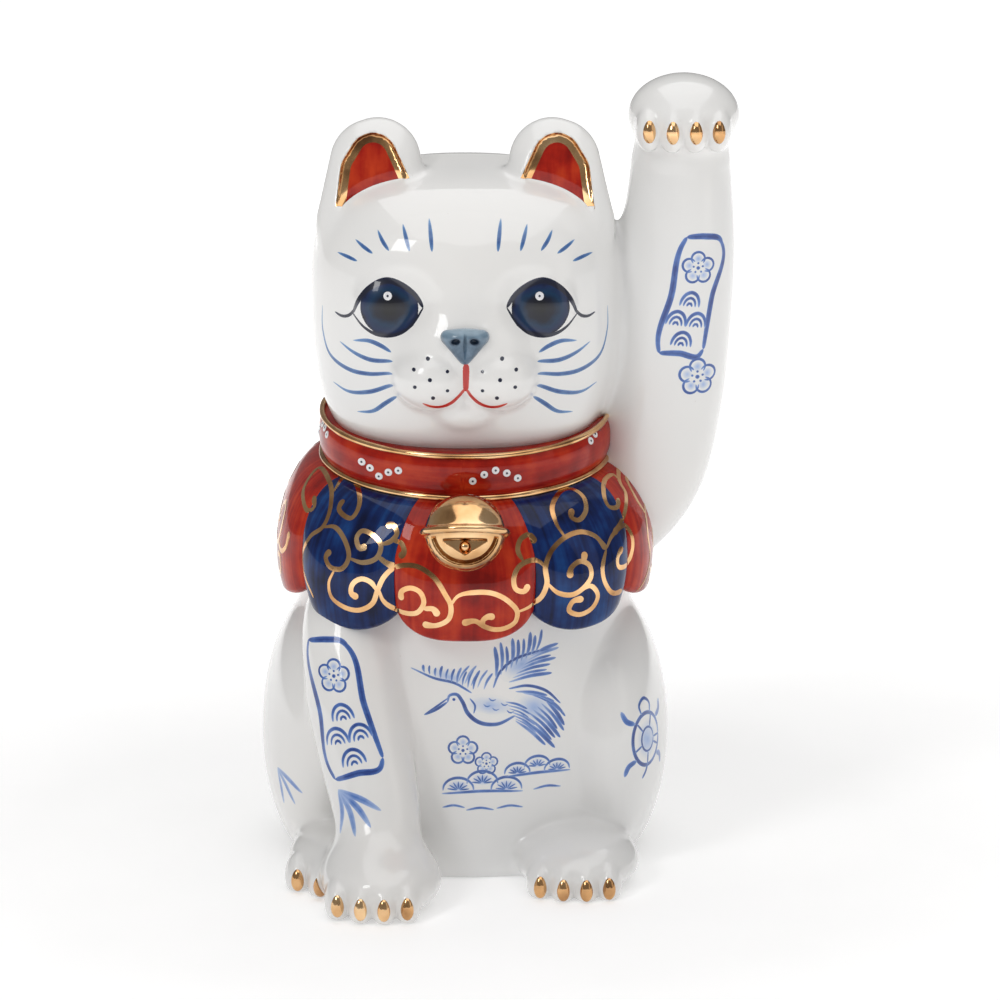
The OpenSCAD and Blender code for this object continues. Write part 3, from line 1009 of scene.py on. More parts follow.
class Canvas:
    """A finished surface that paint is laid on."""

    def __init__(self, points, triangles, normals):
        self.points, self.triangles, self.normals = points, np.asarray(triangles), normals
        self.tree = BVHTree.FromPolygons(points.tolist(), self.triangles.tolist())

    def shade(self, index, places):
        """Smooth normals at places on the triangles with these indices."""
        corner = self.points[self.triangles[index]]
        a, b, c = corner[:, 0], corner[:, 1], corner[:, 2]
        total = np.maximum(length(np.cross(b - a, c - a)), 1e-9)
        wb = length(np.cross(places - a, c - a)) / total
        wc = length(np.cross(b - a, places - a)) / total
        weights = np.stack([1 - wb - wc, wb, wc], 1)[..., None]
        return unit((self.normals[self.triangles[index]] * weights).sum(1))

    def drop(self, flat, view):
        """Where (sideways, height) points meet the surface from a view, the normals there, and
        which points met it."""
        turn = math.radians(VIEWS[view])
        s, c = round(math.sin(turn), 3), round(math.cos(turn), 3)
        x, y = round(VIEW_REACH * s), round(-VIEW_REACH * c)
        hits, met = [], []
        for a, z in np.asarray(flat).tolist():
            start = Vector((x + a * c, y + a * s, z))
            place, _, index, _ = self.tree.ray_cast(start, Vector((-s, c, 0)))
            met.append(place is not None)
            if met[-1]:
                hits.append((*place, index))
        hits = np.array(hits).reshape(-1, 4)
        places = hits[:, :3]
        return places, self.shade(hits[:, 3].astype(int), places), met

    def snap(self, points):
        """The nearest surface points and their normals."""
        found = [self.tree.find_nearest(Vector(p)) for p in points.tolist()]
        places = np.array([tuple(f[0]) for f in found])
        return places, self.shade(np.array([f[2] for f in found]), places)


class Brush:
    """Gathers strokes, dots and patches on one canvas into one thin closed piece."""

    # A stroke's section as (place across it, share of the lift, share of the tone)
    PROFILE = ((-1.0, -0.5, 0.15), (-0.72, 0.8, 0.75), (0.0, 1.0, 1.0), (0.72, 0.8, 0.75),
               (1.0, -0.5, 0.15))

    def __init__(self, canvas, lift=0.07):
        self.canvas, self.lift = canvas, lift
        self.verts, self.faces, self.normals, self.tone = [], [], [], []
        self.count = 0

    def add(self, verts, normals, tone, faces):
        self.verts.append(verts)
        self.normals.append(normals)
        self.tone.append(tone)
        self.faces += [tuple(i + self.count for i in face) for face in faces]
        self.count += len(verts)

    def stroke(self, flat, width, tone=1.0, view="front", taper=0.35, fade=0.5, blob=0.0,
               lean=0.0):
        """A brush stroke through (sideways, height) points. taper is its width at the ends and
        fade how much paler they are. blob swells the far end, and lean the start."""
        flat, end = curve_through(flat, width)
        path, normal, met = self.canvas.drop(flat, view)
        n, end = len(path), end[met]
        if n < 4:
            return
        along = unit(np.gradient(path, axis=0))
        side = unit(np.cross(normal, along))
        run = np.append(0, np.cumsum(length(np.diff(path, axis=0))))
        t = run / run[-1]
        shape = (taper + (1 - taper) * np.sin(math.pi * t) ** 0.55) * (1 - lean * t)
        if blob:
            swell = np.exp(-((run[-1] - run - width / 2) / width) ** 2)
            shape = np.minimum(1, 0.45 + 3 * t) + blob * swell
        tip = np.maximum(1 - 2 * end / width, 0)
        half = width / 2 * shape * np.sqrt(np.clip(1 - tip ** 2, 0.003, 1))
        strength = tone * (1 - fade * np.abs(2 * t - 1) ** 3) * (1 - lean * t)
        rows = []
        for across, lift, share in self.PROFILE:
            place, up = self.canvas.snap(path + side * (half * across)[:, None])
            rows.append((place + up * self.lift * lift, up, strength * share))
        rows.append((path - normal * PAINT_SINK, -normal, strength * 0))
        m = len(rows)
        verts, normals, tones = (np.stack(part, 1) for part in zip(*rows))
        faces = tube(n, m)
        faces += [tuple(range(m)), tuple(range(n * m - 1, (n - 1) * m - 1, -1))]
        self.add(verts.reshape(-1, 3), normals.reshape(-1, 3), tones.reshape(-1), faces)

    def patch(self, centre, outline, view="front", rings=5, spokes=28, dome=0.0, tone=1.0,
              fall=0.5):
        """A patch round a centre. outline is its reach, or gives it for each direction. The tone
        falls to the rim, and dome raises the middle."""
        turn = np.linspace(0, 2 * math.pi, spokes, endpoint=False)
        reach = outline(turn) if callable(outline) else np.full(spokes, float(outline))
        spread = reach[:, None] * np.stack([np.cos(turn), np.sin(turn)], 1)
        shares = np.append(np.linspace(0, 0.94, rings + 1)[1:], 1.0)
        flat = [np.array([centre])] + [np.array(centre) + share * spread for share in shares]
        place, up, met = self.canvas.drop(np.concatenate(flat), view)
        if not all(met):
            return
        radial = np.append(0, np.repeat(shares, spokes))
        lift = self.lift + dome * (1 - radial ** 2)
        lift[-spokes:] = -0.5 * self.lift
        faces = [(0, 1 + j, 1 + (j + 1) % spokes) for j in range(spokes)]
        faces += [tuple(1 + k for k in face) for face in tube(len(shares), spokes)]
        count = len(place)
        rim = count - spokes
        under = [tuple(i + count for i in face[::-1]) for face in faces]
        walls = [(a, a + count, b + count, b) for a, b in
                 ((rim + j, rim + (j + 1) % spokes) for j in range(spokes))]
        verts = np.concatenate([place + up * lift[:, None], place - up * PAINT_SINK])
        tones = np.tile(1 - radial * fall, 2) * tone
        self.add(verts, np.concatenate([up, -up]), tones, faces + under + walls)

    def finish(self, name, finish, replaces=(), relief=False):
        """Makes the piece. Paint in relief has its own shading, and flat paint its canvas's."""
        normals = None if relief else np.concatenate(self.normals)
        return make(name, np.concatenate(self.verts), self.faces, finish, normals, replaces,
                    {"tone": np.concatenate(self.tone)})


def oval(rx, rz, lean=0.0):
    """Reach of an ellipse in each direction, leaning by so many degrees."""
    def reach(turn):
        a = turn - math.radians(lean)
        return 1 / np.sqrt((np.cos(a) / rx) ** 2 + (np.sin(a) / rz) ** 2)
    return reach


# ---------- painted face


def arc_reach(centre, circles):
    """Reach from a centre to the nearest of some circles that all hold it."""
    def reach(turn):
        best = np.full(len(turn), np.inf)
        for middle, radius in circles:
            off = np.array(centre) - middle
            along = off[0] * np.cos(turn) + off[1] * np.sin(turn)
            best = np.minimum(best, -along + np.sqrt(along ** 2 - off @ off + radius ** 2))
        return best
    return reach


def circle_through(a, b, c):
    """Middle and radius of the circle through three points."""
    a, b, c = (np.array(p, float) for p in (a, b, c))
    m = 2 * np.array([b - a, c - a])
    middle = np.linalg.solve(m, np.array([b @ b - a @ a, c @ c - a @ a]))
    return middle, math.hypot(*(a - middle))


# The left side of the face: the eye's corners and lids, and the strokes and dots round it
EYE_IN = (12.2, 175.0)
EYE_OUT = (33.0, 172.2)
LID_TOP = (22.8, 182.6)
LID_LOW = (22.6, 166.3)
IRIS = (22.2, 174.6)
IRIS_R = 8.7
UPPER_LID = [EYE_OUT, (31.2, 176.6), (27.6, 180.6), LID_TOP, (17.2, 180.6), (13.8, 177.6), EYE_IN]
LOWER_LID = [EYE_OUT, (29.6, 168.4), (26.4, 166.7), LID_LOW, (18.4, 167.6), (15.2, 170.4), EYE_IN]
LID_TAIL = [(38.4, 171.6), (36.4, 170.8), (34.4, 171.2), (32.6, 173.2), (31.2, 176.4)]
BROWS = [
    [(10.5, 200.5), (10.0, 196), (9.6, 191.5)],
    [(18.2, 198.8), (17.2, 195), (16.2, 191.5)],
    [(25.6, 196.8), (24.2, 194), (22.2, 191.3)],
    [(32.2, 193.6), (30.0, 192), (27.0, 190.2)],
    [(37.6, 189.2), (35.0, 188.6), (31.6, 187.6)],
]
WHISKERS = [
    [(33, 164), (28, 164.4), (24.5, 163.2), (21.6, 161.6)],
    [(37, 163), (33.2, 160.6), (28, 158.8), (21.2, 159)],
    [(42.3, 172.5), (42.2, 165), (39.8, 158), (34.2, 154.9), (28, 154.4), (21.2, 155.5)],
    [(39.2, 149.8), (35, 148), (28.6, 148.7), (21, 152)],
    [(32, 141.8), (27.2, 142.8), (23.6, 145.6), (20, 148.4)],
]
SMILE = [(0.2, 152.6), (2, 149.8), (4.4, 147.7), (7.4, 146.7), (10, 147), (12.4, 148.1)]
WHISKER_DOTS = [(10.8, 161.3), (14.9, 158.2), (5.1, 157.8), (10.2, 155.5), (14.6, 153.2),
                (5.1, 152.2), (9.3, 150)]


def paint_face(canvas):
    lifts = (0.07, 0.1, 0.06, 0.16, 0.2, 0.08, 0.09)
    lines, ink, iris, catch, pupils, dots, mouth = (Brush(canvas, lift) for lift in lifts)
    lids = [circle_through(EYE_IN, lid, EYE_OUT) for lid in (LID_TOP, LID_LOW)]
    mouth.stroke([(0.3, 160), (0.3, 156), (0.2, 151.5)], 2.3, taper=0.75, fade=0.1)
    for side in (1, -1):
        def across(points):
            return [(side * x, z) for x, z in points]

        centre, shine = across([IRIS, (IRIS[0], IRIS[1] + 3.7)])
        shine = (shine[0] - 0.4, shine[1])
        circles = [(middle * (side, 1), radius) for middle, radius in lids]
        circles.append((np.array(centre), IRIS_R))
        iris.patch(centre, arc_reach(centre, circles), rings=12, spokes=64, fall=1.0)
        ink.stroke(across(UPPER_LID), 2.4, fade=0.1)
        ink.stroke(across(LOWER_LID), 1.25, fade=0.1)
        ink.stroke(across(LID_TAIL), 1.1, taper=0.3)
        catch.patch(shine, 1.3, rings=3)
        pupils.patch(shine, 0.35, rings=1, spokes=12)
        for i, points in enumerate(BROWS):
            lines.stroke(across(points)[::-1], 1.75 - 0.06 * i, tone=0.95, taper=0.15, fade=0.6,
                         lean=0.4)
        for points in WHISKERS:
            lines.stroke(across(points)[::-1], 1.95, taper=0.2, lean=0.45)
        for i, spot in enumerate(across(WHISKER_DOTS)):
            dots.patch(spot, 0.62 - 0.05 * (i % 3), rings=2, spokes=14)
        mouth.stroke([SMILE[0]] + across(SMILE[1:]), 2.1, taper=0.2, fade=0.6)
    for brush, name, finish in (
        (lines, "face_brushwork", "facial"), (ink, "eyelid_lines", "ink"),
        (iris, "irises", "iris"), (catch, "eye_highlights", "white"),
        (pupils, "eye_highlight_dots", "ink"), (dots, "whisker_dots", "ink"),
        (mouth, "mouth_line", "mouth"),
    ):
        brush.finish(name, finish)


# ---------- ears and claws

def skin(points, triangles, normals, lift, depth):
    """A thin closed layer over part of a surface."""
    triangles, points, normals = compact(triangles, points, normals)
    count = len(points)
    walls = [(a, a + count, b + count, b) for a, b in sorted(rim_edges(triangles))]
    faces = triangles.tolist() + (triangles[:, ::-1] + count).tolist() + walls
    verts = np.concatenate([points + normals * lift, points - normals * depth])
    return verts, faces, np.concatenate([normals, -normals])


def region(points, triangles, *fields):
    """The part of a surface where every field is below 0."""
    for field in fields:
        s = field(points)
        near = (s[triangles] < 0).any(1)
        triangles = triangles[near]
        points, triangles, _, below = cut(points, triangles, np.zeros(len(triangles), int), s)
        triangles = triangles[below]
    return points, triangles


def gild_ears(points, triangles):
    """Red linings in the hollows of the ears, with a gilt band round each rim."""
    for side, name in ((1, "left"), (-1, "right")):
        def own(p):
            return p * (side, 1, 1)

        def hollow(p):
            return ear_hollow(own(p)) - 0.35

        def above_head(p):
            return 0.9 - egg(p)

        def rim(p):
            q = own(p)
            return EAR_HOLLOW - EAR_RIM - outline_gap(q[:, 0], q[:, 2], EAR_INNER)

        box = BOX[name + "_ear"]
        inside = ((points > box.lo - 3) & (points < box.hi + 3)).all(1)
        local = triangles[inside[triangles].all(1)]
        for part, finish, edge in (("lining", "red", lambda p: -rim(p)), ("gilt_rim", "gold", rim)):
            p, t = region(points, local, hollow, above_head, edge)
            verts, faces, normals = skin(p, t, unit(gradient(cat_field, p)), 0.08, 0.25)
            make(f"{name}_ear_{part}", verts, faces, finish, normals,
                 values={"flow": verts[:, 0] * 0.6, "drift": verts[:, 2] * 0.1})


def claws():
    """Gilt claws in relief, each set laid on its own paw."""
    def nail(turn):
        return oval(*CLAW_HALF)(turn) * (1 - 0.16 * np.sin(turn))

    for node, (centre, _, shift) in PAWS.items():
        brush = Brush(Canvas(*surface_of([bpy.data.objects[node + "_casting"]])), 0.05)
        count = 2 if node == "right_hind_foot" else 4
        for x in toe_places(shift)[:count]:
            brush.patch((centre[0] + x, centre[2] - 2.6), nail, rings=7, spokes=32, dome=0.4)
        part = node.replace("_foot", "")
        brush.finish(part + "_gilt_claws", "gold", [part + "_claws"], relief=True)


# ---------- painted bib and collar

# Scrolls on the front of the bib as (sideways, height) points, each ending in a curl
FRONT_VINE = [
    [(-45, 87), (-48, 93.5), (-48.2, 100), (-45.8, 105), (-42.3, 108), (-39.9, 114), (-40.2, 118.5),
     (-43.4, 121), (-47.2, 118), (-48.7, 114.5), (-47, 111), (-45, 112.4), (-45.2, 115)],
    [(-39.8, 116.5), (-35.6, 120.5), (-32, 119), (-31.2, 115.7), (-34, 111.5), (-37.4, 113.4),
     (-36.2, 115.8)],
    [(-42.3, 108), (-38.7, 108.7), (-35.2, 105), (-34.3, 101), (-36.8, 97.4), (-40, 97.7),
     (-41.2, 100.2), (-39.7, 102.3)],
    [(-34.3, 100.9), (-30, 100), (-25.8, 101.8), (-24.8, 105.3), (-27.4, 108), (-30.5, 108.6),
     (-32, 106.5), (-31, 104), (-28.9, 104.7)],
    [(-24.8, 105.3), (-21.5, 106.7), (-20, 108.8), (-21.1, 110.8), (-23.3, 110.6)],
    [(-21.5, 106.7), (-18.7, 106), (-18, 103.4), (-19.4, 102)],
    [(-25.6, 102), (-22.8, 100), (-20.5, 99)],
    [(-38.6, 97), (-40.3, 92.6), (-39.5, 88.6), (-36, 86.2), (-31.3, 85.6), (-27.4, 87.8),
     (-25.6, 92.4), (-23.8, 96.1), (-20.3, 99.1), (-14.8, 99.9), (-9.3, 96.9), (-5.8, 91.7),
     (-4.2, 88.5), (-4.8, 84.3), (-8.5, 82.2), (-12.5, 82.4)],
    [(-25.8, 91.6), (-27.8, 94.4), (-30.5, 95.2), (-33.2, 93.3), (-33.5, 90.6), (-31.5, 89.4)],
    [(-25.4, 92.4), (-24.2, 89), (-21.5, 86.6), (-18, 85.5), (-14, 86), (-12.1, 89.3),
     (-13.3, 92.3), (-16, 93.3), (-18.7, 91.9), (-18.8, 89.3)],
    [(-12.4, 87.2), (-9.3, 87.2), (-7.8, 85.2)],
    [(-4.2, 88.5), (-2.4, 91), (3.2, 92.4), (8.6, 91.9), (13.1, 89.2), (15.4, 86), (14.8, 83),
     (12.4, 81.4), (9, 80.9), (5.6, 82), (3.2, 83.6), (-0.9, 83)],
    [(5.6, 82), (5.2, 83.6), (6.6, 84.9), (8.8, 84.9)],
    [(15.4, 86), (19.2, 87.3), (22.5, 90), (24.1, 94), (23.7, 99), (25.4, 103.5), (29.5, 107),
     (34, 108), (38.5, 106.3), (41.8, 102.3)],
    [(41.8, 102.3), (43.8, 105.6), (47.1, 107.2), (49.6, 104.2), (50, 99.1), (48.3, 95.7),
     (45.9, 96.1), (45.5, 99.6), (46.9, 101.5)],
    [(41.8, 102.3), (40.7, 96.6), (41.8, 91.9), (44.2, 88.7), (46.7, 88.4)],
    [(29.5, 107), (26.6, 111.6), (25.8, 115.3), (28.2, 118.2), (31.9, 118.5), (35.6, 115.8),
     (35.8, 113.1), (33.6, 111.1), (31.3, 112.4), (31.8, 114.1)],
    [(24, 94.4), (27.4, 91.2), (31.9, 90.4), (35.2, 92.3), (37.3, 95.4), (36.4, 98.9), (34, 100),
     (31.3, 98.3), (30.9, 95.4)],
    [(35, 99.7), (35.4, 102.5)],
    [(33.6, 91), (37.1, 92.4), (39.3, 89.3), (37.7, 85.6), (33.4, 84), (30.7, 85.6), (31.9, 88.3),
     (35, 88.8)],
    [(23.7, 98.7), (22.1, 100.5), (19.2, 101.1), (16, 99.7), (14.3, 95.9), (15.1, 92.9),
     (17.4, 92.2), (18.8, 94.1)],
    [(17.2, 101), (15.5, 104.4), (16.4, 107.3), (18.8, 108.4), (20.7, 106)],
    [(46.9, 117.6), (44.2, 119.7), (41.8, 119), (41.4, 116.3), (43.4, 112.7), (45.5, 112.4),
     (45.9, 114.3)],
    [(44.2, 124), (46.4, 122), (46.3, 118.4), (48.3, 114.5), (47.5, 109.8), (44.2, 105.8)],
]
# The side gores' scrolls as (depth, height) points
SIDE_VINE = [
    [(-24, 84), (-19, 88), (-16, 94), (-17.5, 101), (-14, 107), (-7, 110), (0, 107), (3.5, 101),
     (2, 95.4), (-3.5, 93.6), (-7.5, 97), (-7, 101.4), (-3.4, 102.6)],
    [(-14, 107), (-16, 112), (-13, 117), (-8, 117.6), (-5.6, 114.6), (-8, 112.4)],
    [(3.5, 101), (8, 97.6), (13, 99), (15, 104), (12.4, 109), (7.6, 109.4), (6.2, 105.6), (9, 104)],
    [(2, 95.4), (5, 90.4), (10.5, 88.4), (15.5, 90.5), (16, 94.4), (12.6, 95)],
    [(13, 99), (18, 96.6), (22, 99), (23, 103.6)],
    [(-16.6, 91.5), (-12.4, 89.4), (-7.4, 89.6), (-5.6, 86.6), (-8.6, 84.6), (-11.6, 86)],
]
VINE_WIDTH = 1.7
# White dots on the collar in groups of five: angle of each group and which way it arches
DOT_GROUPS = [(-36, -1), (12, 1), (58, -1), (104, 1), (150, -1), (196, 1), (240, -1), (282, 1)]
DOT_STEP = 4.5          # degrees from one dot to the next


def paint_dress(bib_canvas, collar_canvas):
    vine = Brush(bib_canvas, 0.12)
    for scrolls, views in ((FRONT_VINE, ("front", "back")), (SIDE_VINE, ("left", "right"))):
        for points in scrolls:
            for view in views:
                vine.stroke(points, VINE_WIDTH, view=view, taper=0.7, blob=0.4)
    vine.finish("bib_gilt_scrolls", "gold")
    dots, hearts = Brush(collar_canvas, 0.16), Brush(collar_canvas, 0.22)
    for middle, arch in DOT_GROUPS:
        view = next(v for v in ("front", "left", "back", "right")
                    if abs((middle - VIEWS[v] + 180) % 360 - 180) <= 46)
        for i in range(-2, 3):
            angle = math.radians(middle - VIEWS[view] + DOT_STEP * i)
            slope = -math.sin(COLLAR_TILT) * RING_R * math.cos(angle - math.radians(VIEWS[view]))
            bow = arch * (2.2 - 1.5 * abs(i)) + 0.4 * (i % 2)
            spot = (RING_R * math.sin(angle), COLLAR_MID[2] + slope + bow)
            dots.patch(spot, 1.15, view=view, rings=3, spokes=20)
            hearts.patch(spot, 0.35, view=view, rings=1, spokes=12)
    dots.finish("collar_dots", "white")
    hearts.finish("collar_dot_hearts", "ink")


# ---------- painted body

def fan(brush, root_a, root_b, tip_a, tip_b, count, width, bow=0.0, tone=1.0):
    """A row of leaf-shaped strokes from one line to another."""
    for i in range(count):
        t = i / max(1, count - 1)
        root = np.array(root_a) * (1 - t) + np.array(root_b) * t
        tip = np.array(tip_a) * (1 - t) + np.array(tip_b) * t
        tip = tip + 0.12 * (tip - root) * math.sin(2.4 * i)
        middle = (root + tip) / 2 + bow * np.array([root[1] - tip[1], tip[0] - root[0]])
        brush.stroke([tip, middle, root], width * (1 - 0.12 * (i % 3)),
                     tone=tone * (1 - 0.15 * (i % 2)), taper=0.3, fade=0.3, lean=0.45)


def wash(brush, centre, rx, rz, tone, lean=0.0, view="front"):
    """A pale patch of thin colour under the strokes."""
    brush.wash.patch(centre, oval(rx, rz, lean), view=view, spokes=24, tone=tone, fall=1.0)


def blossom(brush, centre, size):
    """Five round petals with a dotted heart."""
    centre = np.array(centre, float)
    for i in range(5):
        heading = math.radians(90 + 72 * i)
        way = np.array([math.cos(heading), math.sin(heading)])
        middle = centre + size * 0.58 * way
        turn = heading + np.linspace(-2.3, 2.3, 8)
        petal = middle + size * 0.42 * np.stack([np.cos(turn), np.sin(turn)], 1)
        wash(brush, middle, size * 0.36, size * 0.36, 0.32)
        brush.stroke(petal, 0.24 * size ** 0.85, tone=0.9, taper=0.5)
        brush.patch(centre + size * 0.3 * way, 0.075 * size, rings=1, spokes=8, tone=0.9)
    brush.patch(centre, size * 0.12, rings=2, spokes=12)


def pine_cloud(brush, centre, size):
    """A layered pine: a scalloped top with needles fanning under it."""
    centre = np.array(centre, float)
    turn = np.linspace(math.pi * 1.02, -0.02 * math.pi, 8)
    scallop = size * 0.4 * np.stack([np.cos(turn), 0.82 * np.sin(turn)], 1)
    for lobe in (-1, 0, 1):
        middle = centre + size * np.array([0.62 * lobe, 0.2 - 0.18 * abs(lobe)])
        wash(brush, middle + (0, 0.1 * size), 0.34 * size, 0.2 * size, 0.34)
        brush.stroke(middle + scallop, 1.05, tone=0.85)
        for ray in np.linspace(0.15, math.pi - 0.15, 7):
            way = size * np.array([math.cos(ray), 0.8 * math.sin(ray)])
            brush.stroke([middle + share * way for share in (0.03, 0.16, 0.29)], 0.62, tone=0.8)
    base = centre - (0, 0.05 * size)
    ground = [base + size * np.array(place) for place in ((-1.05, -0.03), (0, 0.04), (1.05, 0))]
    brush.stroke(ground, 1.1, tone=0.75)


def crane(brush):
    """A flying crane with spread wings, turned to the viewer's left."""
    wash(brush, (7.5, 55), 8.5, 3.6, 0.3, -8)
    wash(brush, (17, 67.5), 8, 4.6, 0.34, 32)
    wash(brush, (21, 53.5), 7.5, 5.2, 0.32, -34)
    wash(brush, (-5, 64), 8, 2.6, 0.3, -16)
    brush.stroke([(15, 51.6), (9.5, 49.2), (4, 50), (0.8, 52.8), (-0.8, 56.4), (-2.6, 58.6),
                  (-4.6, 58.2), (-5.2, 56)], 1.5)
    brush.stroke([(-5.2, 56.2), (-8.6, 53.8), (-12.2, 52)], 1.1)
    brush.stroke([(-4.8, 57.6), (-8.4, 54.8), (-12.2, 52)], 0.7)
    brush.stroke([(1.4, 57.4), (3, 55), (2.6, 52.6)], 0.8, tone=0.8)
    brush.patch((-3.3, 57), 0.5, rings=1, spokes=10)
    for x, z in ((5.4, 55.6), (8, 54.4), (10.6, 55.8), (7, 57.4), (12.4, 53.4)):
        brush.stroke([(x, z), (x + 1.1, z - 0.9), (x + 2.3, z - 0.5)], 0.6, tone=0.65)
    brush.stroke([(2, 59), (-3, 62), (-9, 63.4), (-16.2, 66.4)], 1.2, lean=0.3)
    fan(brush, (2.4, 60), (-12, 65), (4.4, 66), (-12.4, 67.4), 10, 1.35, 0.07)
    fan(brush, (5.6, 60), (-2, 62.4), (8.2, 65), (1.4, 67.6), 5, 1.2, 0.06, 0.8)
    brush.stroke([(8.4, 60.4), (10.2, 65), (14, 68.6), (20, 70.6), (26, 71.4)], 1.2)
    fan(brush, (9.2, 63.4), (21, 70.6), (8.8, 73.2), (22.8, 77.2), 9, 1.9, -0.05)
    fan(brush, (19.6, 69.6), (13, 62), (27.8, 72.6), (24.6, 63.6), 7, 1.7, 0.05, 0.9)
    brush.stroke([(13, 60), (18.4, 60.6), (24, 58.6), (28.6, 54)], 1.1)
    fan(brush, (15, 59), (24, 56.6), (24.6, 57), (30.2, 49.6), 5, 1.5, 0.05, 0.85)
    fan(brush, (24, 55.6), (15, 50), (29.8, 47), (25.2, 40.6), 8, 1.9, 0.04)
    fan(brush, (12, 56), (15, 50.6), (18.6, 53.4), (21.6, 45.4), 6, 1.2, 0.06, 0.85)


def turtle(brush):
    """A turtle seen from above on the left haunch, with a shell of plates."""
    middle = np.array([14.6, 40.5])
    turn = np.linspace(0, 2 * math.pi, 17)
    shell = np.stack([7.4 * np.cos(turn), 8 * np.sin(turn)], 1)
    wash(brush, middle, 6.8, 7.4, 0.36, view="left_haunch")

    def line(points, width, tone=1.0, taper=0.5):
        brush.stroke([middle + point for point in points], width, tone=tone,
                     view="left_haunch", taper=taper)

    line(shell, 1.5, taper=0.8)
    line(0.46 * shell, 0.9, taper=0.8)
    for plate in shell[::3]:
        line([0.46 * plate, 0.73 * plate, plate], 0.9, 0.85)
    line([(-2.4, 7.8), (-3, 10.4), (0, 12.4), (2.8, 10.4), (2.3, 7.8)], 1.2)
    for side, end in ((-1, 1), (1, 1), (-1, -1), (1, -1)):
        flipper = ((5.8, 5.6), (9, 7), (10.2, 10))
        line([(side * x, end * z) for x, z in flipper], 2.1, 0.8)
    line([(0, -7.8), (-0.8, -10), (-2.4, -12)], 1.2)


def cartouche(brush, corners, motif_size):
    """A hand-ruled frame with a blossom over nested waves: pure ornament."""
    corners = np.array(corners, float)

    def place(u, v):
        top = corners[0] * (1 - u) / 2 + corners[1] * (1 + u) / 2
        low = corners[3] * (1 - u) / 2 + corners[2] * (1 + u) / 2
        return low * (1 - v) / 2 + top * (1 + v) / 2

    rim = [(-0.86, 0.99), (0, 1.03), (0.8, 0.99), (0.97, 0.9), (0.93, 0), (1, -0.86),
           (0.84, -0.98), (0, -0.96), (-0.86, -1), (-0.98, -0.88), (-0.94, 0), (-0.98, 0.87)]
    for start, count in ((0, 4), (2, 4), (5, 4), (8, 5)):
        stops = [place(*rim[(start + k) % len(rim)]) for k in range(count)]
        brush.stroke(stops, 2.2, taper=0.55, fade=0.25)
    blossom(brush, place(0, 0.5), motif_size)
    turn = np.linspace(math.pi, 0, 7)
    for u, v in ((-0.03, -0.02), (-0.46, -0.36), (0.44, -0.36), (-0.03, -0.7)):
        for size, width in ((0.44, 1.3), (0.27, 1.0), (0.11, 1.0)):
            wave = [place(u + size * math.cos(a), v - 0.14 + size * 0.55 * math.sin(a))
                    for a in turn]
            brush.stroke(wave, width, tone=0.9, taper=0.4)


def leaves(brush, root, tips, width, bow, view="front"):
    """Leaves that hang from one place."""
    for tip in tips:
        middle = ((root[0] + tip[0]) / 2 + bow, (root[1] + tip[1]) / 2 + 0.5)
        brush.stroke([root, middle, tip], width, tone=0.55, view=view, taper=0.15)


def paint_body(canvas):
    brush = Brush(canvas, 0.1)
    brush.wash = Brush(canvas, 0.03)
    crane(brush)
    turtle(brush)
    blossom(brush, (-0.6, 41.2), 4.4)
    blossom(brush, (6.4, 37), 3.4)
    pine_cloud(brush, (5.2, 28.6), 11.6)
    pine_cloud(brush, (21.6, 33.4), 9.6)
    for x, z, reach in ((-3.4, 23.4, 3.4), (4.5, 22.6, 4.2), (13.4, 23, 4), (24.6, 28.2, 4.2)):
        brush.stroke([(x - reach, z), (x, z + 0.7), (x + reach, z)], 0.9, tone=0.7)
    cartouche(brush, [(-47.5, 74.5), (-35, 75.8), (-23.4, 41), (-39.4, 36)], 4.6)
    cartouche(brush, [(65, 192.6), (77.2, 191), (70.8, 155.4), (57, 157.2)], 4.8)
    blossom(brush, (69.6, 149.4), 5.6)
    leaves(brush, (-37.4, 33.6), ((-36.8, 21), (-32.2, 21.6), (-27.6, 24.4), (-24.6, 29)), 2.3, 0.8)
    leaves(brush, (-18.2, 30.6), ((-17.7, 19), (-10.8, 20.4), (-6.4, 25)), 2.1, 0.6, "right_haunch")
    brush.finish("body_brushwork", "cobalt")
    brush.wash.finish("body_washes", "cobalt")


# ---------- putting the figure together

def surface_of(pieces):
    """The meshes of some pieces as one set of points, triangles and normals in millimetres."""
    points, triangles, normals = [], [], []
    for piece in pieces:
        mesh = piece.data
        mesh.calc_loop_triangles()
        triangles += [[i + len(points) for i in t.vertices] for t in mesh.loop_triangles]
        points += [np.array(v.co) / MM for v in mesh.vertices]
        normals += [np.array(v.normal) for v in mesh.vertices]
    return np.array(points), np.array(triangles), np.array(normals)


cat_points, cat_triangles, cat_normals = cast_cat()
cat_canvas = Canvas(cat_points, cat_triangles, cat_normals)
red_bib = bib(0, "red")
blue_bib = bib(1, "blue")
band = collar()
bell()
nose()
gild_ears(cat_points, cat_triangles)
claws()
paint_face(cat_canvas)
paint_dress(Canvas(*surface_of([red_bib, blue_bib])), Canvas(*surface_of([band])))
paint_body(cat_canvas)


# ---------- studio

TARGET = Vector((0, 0, 0.118))
CAMERA_AWAY = 1.3
CAMERA_RISE = math.radians(12)
LIGHTS_AIM = Vector((0, 0, 0.12))
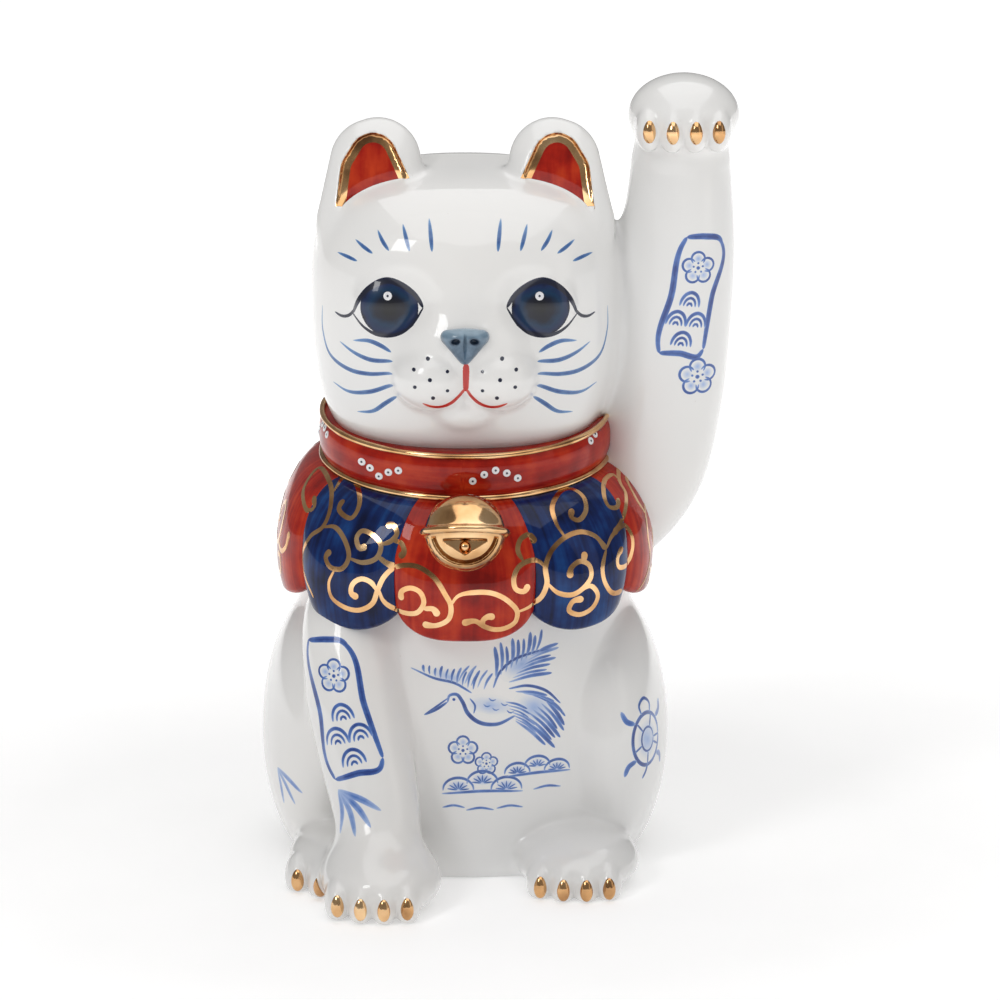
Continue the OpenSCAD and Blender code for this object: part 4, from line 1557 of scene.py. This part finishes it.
# Place, size, power and colour of each area light
LIGHTS = {
    "key window": ((-0.7, -0.85, 0.95), (0.32, 0.42), 3.2, (1, 1, 1)),
    "fill softbox": ((0.95, -0.5, 0.45), (0.4, 0.9), 0.6, (1, 0.95, 0.89)),
    "top softbox": ((0.1, 0.0, 1.25), (1.9, 1.3), 10.6, (1, 1, 1)),
}


def studio():
    data = bpy.data.cameras.new("camera")
    data.lens, data.shift_x, data.shift_y = 153.7, 0.035, -0.031
    camera = add_object("camera", data)
    back, up = CAMERA_AWAY * math.cos(CAMERA_RISE), CAMERA_AWAY * math.sin(CAMERA_RISE)
    camera.location = TARGET + Vector((0, -back, up))
    camera.rotation_euler = (math.pi / 2 - CAMERA_RISE, 0, 0)
    scene = bpy.context.scene
    scene.camera = camera
    for name, (place, size, power, colour) in LIGHTS.items():
        data = bpy.data.lights.new(name, "AREA")
        data.shape = "RECTANGLE"
        data.size, data.size_y = size
        data.energy = power
        data.color = colour
        light = add_object(name, data)
        light.location = place
        light.rotation_euler = (LIGHTS_AIM - Vector(place)).to_track_quat("-Z", "Y").to_euler()
    world = bpy.data.worlds.new("studio")
    world.use_nodes = True
    sky = world.node_tree.nodes["Background"].inputs
    sky["Color"].default_value = (1, 0.995, 0.985, 1)
    sky["Strength"].default_value = 0.25
    scene.world = world
    scene.view_settings.view_transform = "Standard"


def floor():
    """A wide pale floor with painted light: it glows, weakly near the cat and more strongly further
    away.
    """
    mesh = bpy.data.meshes.new("studio_floor")
    reach = 9.0
    corners = ((-1, -1), (1, -1), (1, 1), (-1, 1))
    mesh.from_pydata([(reach * x, reach * y, 0) for x, y in corners], [], [(0, 1, 2, 3)])
    n, _ = mottled("pale floor", 30, 3, (0.91, 0.91, 0.91), (0.93, 0.93, 0.93), 0.7)
    # Painted light: the floor glows though it is no lamp, more strongly the further it lies from
    # the cat.
    far = n.add("ShaderNodeVectorMath", {0: n.place()}, operation="LENGTH").outputs["Value"]
    spread = {"From Min": 0.14, "From Max": 0.7, "To Min": 0.26, "To Max": 0.8}
    floor_painted_light = n.add("ShaderNodeMapRange", {"Value": far, **spread})
    n.set(Emission_Color=(1, 1, 1, 1), Emission_Strength=floor_painted_light.outputs[0])
    mesh.materials.append(n.material)
    add_object("studio_floor", mesh)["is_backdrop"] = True


studio()
floor()

for node, material in (("base_plate", bisque()), ("vent_stopper", stopper_rubber())):
    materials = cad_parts[node].data.materials
    materials.clear()
    materials.append(material)
